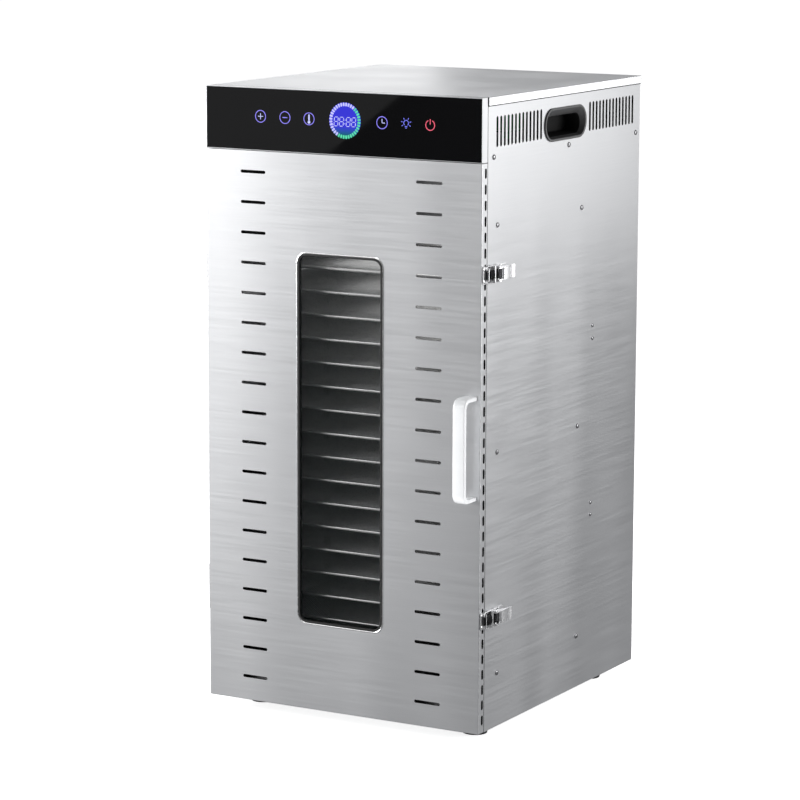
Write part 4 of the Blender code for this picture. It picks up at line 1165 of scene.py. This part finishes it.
def make_world():
    """A white room for the camera, and a dimmer one for what the steel reflects."""
    world = bpy.data.worlds.new("room")
    bpy.context.scene.world = world
    world.use_nodes = True
    tree = world.node_tree
    tree.nodes.clear()
    seen = add_node(world, "Background", Color=(1, 1, 1, 1), Strength=1.0)
    room = add_node(world, "Background", Color=(0.97, 0.98, 1.0, 1), Strength=0.26)
    path = add_node(world, "LightPath")
    mix = add_node(world, "MixShader")
    feeds = (path.outputs["Is Camera Ray"], room.outputs["Background"], seen.outputs["Background"])
    for output, socket in zip(feeds, mix.inputs):
        tree.links.new(output, socket)
    add_node(world, "OutputWorld", Surface=mix.outputs["Shader"])


def make_floor():
    """A wide white floor that glows a little, so that it runs into the white behind it."""
    made = start_material(
        "floor", (0.93, 0.93, 0.93), 0.7, Emission_Color=(1, 1, 1, 1), Emission_Strength=0.80
    )
    feed(made, between(made, noise(made, 3.0), 0.66, 0.74), "Roughness")
    bm = bmesh.new()
    bmesh.ops.create_circle(bm, cap_ends=True, radius=30, segments=96)
    floor = add_object("floor", bake("floor", bm))
    floor.data.materials.append(made)
    floor.visible_glossy = False


def make_lights():
    """The room's lights, each with its place, aim, size, power and roll, and the chamber lamp's."""
    add_light("glass_glare", (-1.11, -1.20, 0.98), (-0.01, 0.0, 0.62), (1.0, 1.1), 3.0, 40)
    add_light("front_low", (-1.55, -1.30, 0.30), (-0.05, 0.0, 0.35), (0.9, 0.8), 1.7)
    add_light("front_floor", (-0.65, -0.75, 0.01), (-0.10, 0.0, 0.15), (0.8, 0.5), 0.25)
    add_light("front_key", (-2.2, -1.2, 1.0), (-0.1, 0.0, 0.5), (1.2, 1.2), 62)
    add_light("front_high", (-0.4, -2.2, 1.9), (0.0, 0.0, 0.5), (1.4, 0.8), 9.0)
    add_light("side_near", (1.00, 1.45, 0.95), (0.20, 0.10, 0.62), (0.6, 1.0), 2.3)
    add_light("side_wide", (1.9, 1.0, 0.7), (0.2, 0.2, 0.45), (1.2, 1.2), 30)
    add_light("top_left", (-1.15, 1.5, 1.15), (-0.15, 0.2, 0.8), (0.8, 0.5), 1.9)
    add_light("top_over", (-0.2, 0.2, 2.4), (0.0, 0.2, 0.8), (1.0, 1.0), 15.5)
    lamp_level = node_box("chamber_lamp")[0].z - 0.004
    add_light("chamber", (0, 0.11, lamp_level), (0, 0.12, 0.1), (0.26, 0.16), 0.20)


def make_camera():
    """The camera of the reference view, from a fit to the cabinet's corners."""
    place = Vector((2.0863, -3.5458, 1.1400))
    azimuth, elevation, roll = (math.radians(a) for a in (29.538, 9.847, 0.173))
    data = bpy.data.cameras.new("camera")
    data.lens, data.sensor_width = 147.95, 36.0
    aim = Matrix.Rotation(azimuth, 4, "Z") @ Matrix.Rotation(math.pi / 2 - elevation, 4, "X")
    matrix = Matrix.Translation(place + SHIFT) @ aim @ Matrix.Rotation(roll, 4, "Z")
    bpy.context.scene.camera = add_object("camera", data, matrix)


draws = random.Random(7)

make_camera()
make_world()
make_floor()
make_lights()
bpy.context.scene.view_settings.view_transform = "Standard"

make_door()
make_gasket()
make_window_bead()
make_handle()
for side, sign in (("left", -1), ("right", 1)):
    make_side(side, sign)
    make_cup(side, sign)
make_top()
make_seam_shadow_strips()
make_back()
make_feet()
make_trays()
make_symbols()
make_display()
for level, place in FITTING_LEVELS.items():
    make_latch_base(level, place)
    make_latch_lever(level, place)
    make_latch_bail(level, place)
    make_latch_keeper(level, place)
make_lamp_lens()
make_all_screws()

ENDS = ("upper", "lower")
KEPT = (  # finish, edge radius and CAD nodes that stay
    (front_steel, 0.0003, ["control_fascia"]),
    (front_steel, 0.0002, ["front_frame", "duct_plate"]),
    (side_steel, 0.0002, ["tray_rack_left", "tray_rack_right"]),
    (touch_glass, 0.0004, ["control_glass"]),
    (clear_glass, 0.0003, ["door_window"]),
    (galvanised, 0.0003, ["base_pan"]),
    (galvanised, 0.0002, ["bay_floor"]),
    (galvanised, 0.0006, [f"fan_motor_{end}" for end in ENDS]),
    (black_plastic, 0.0004, [f"fan_rotor_{end}" for end in ENDS]),
    (black_plastic, 0.0003, ["power_inlet"]),
    (heater, 0.0006, ["heater_element"]),
    (chrome, 0.0004, ["temperature_probe"]),
    (chrome, 0.0002, [f"hinge_{side}_{end}" for side in ("cabinet", "door") for end in ENDS]),
    (white_plastic, 0.0008, ["chamber_lamp"]),
    (board, 0.0001, ["control_board"]),
    (board, 0.0003, ["power_board"]),
)
for material, edge, nodes in KEPT:
    for node in nodes:
        soften(node, material, edge)
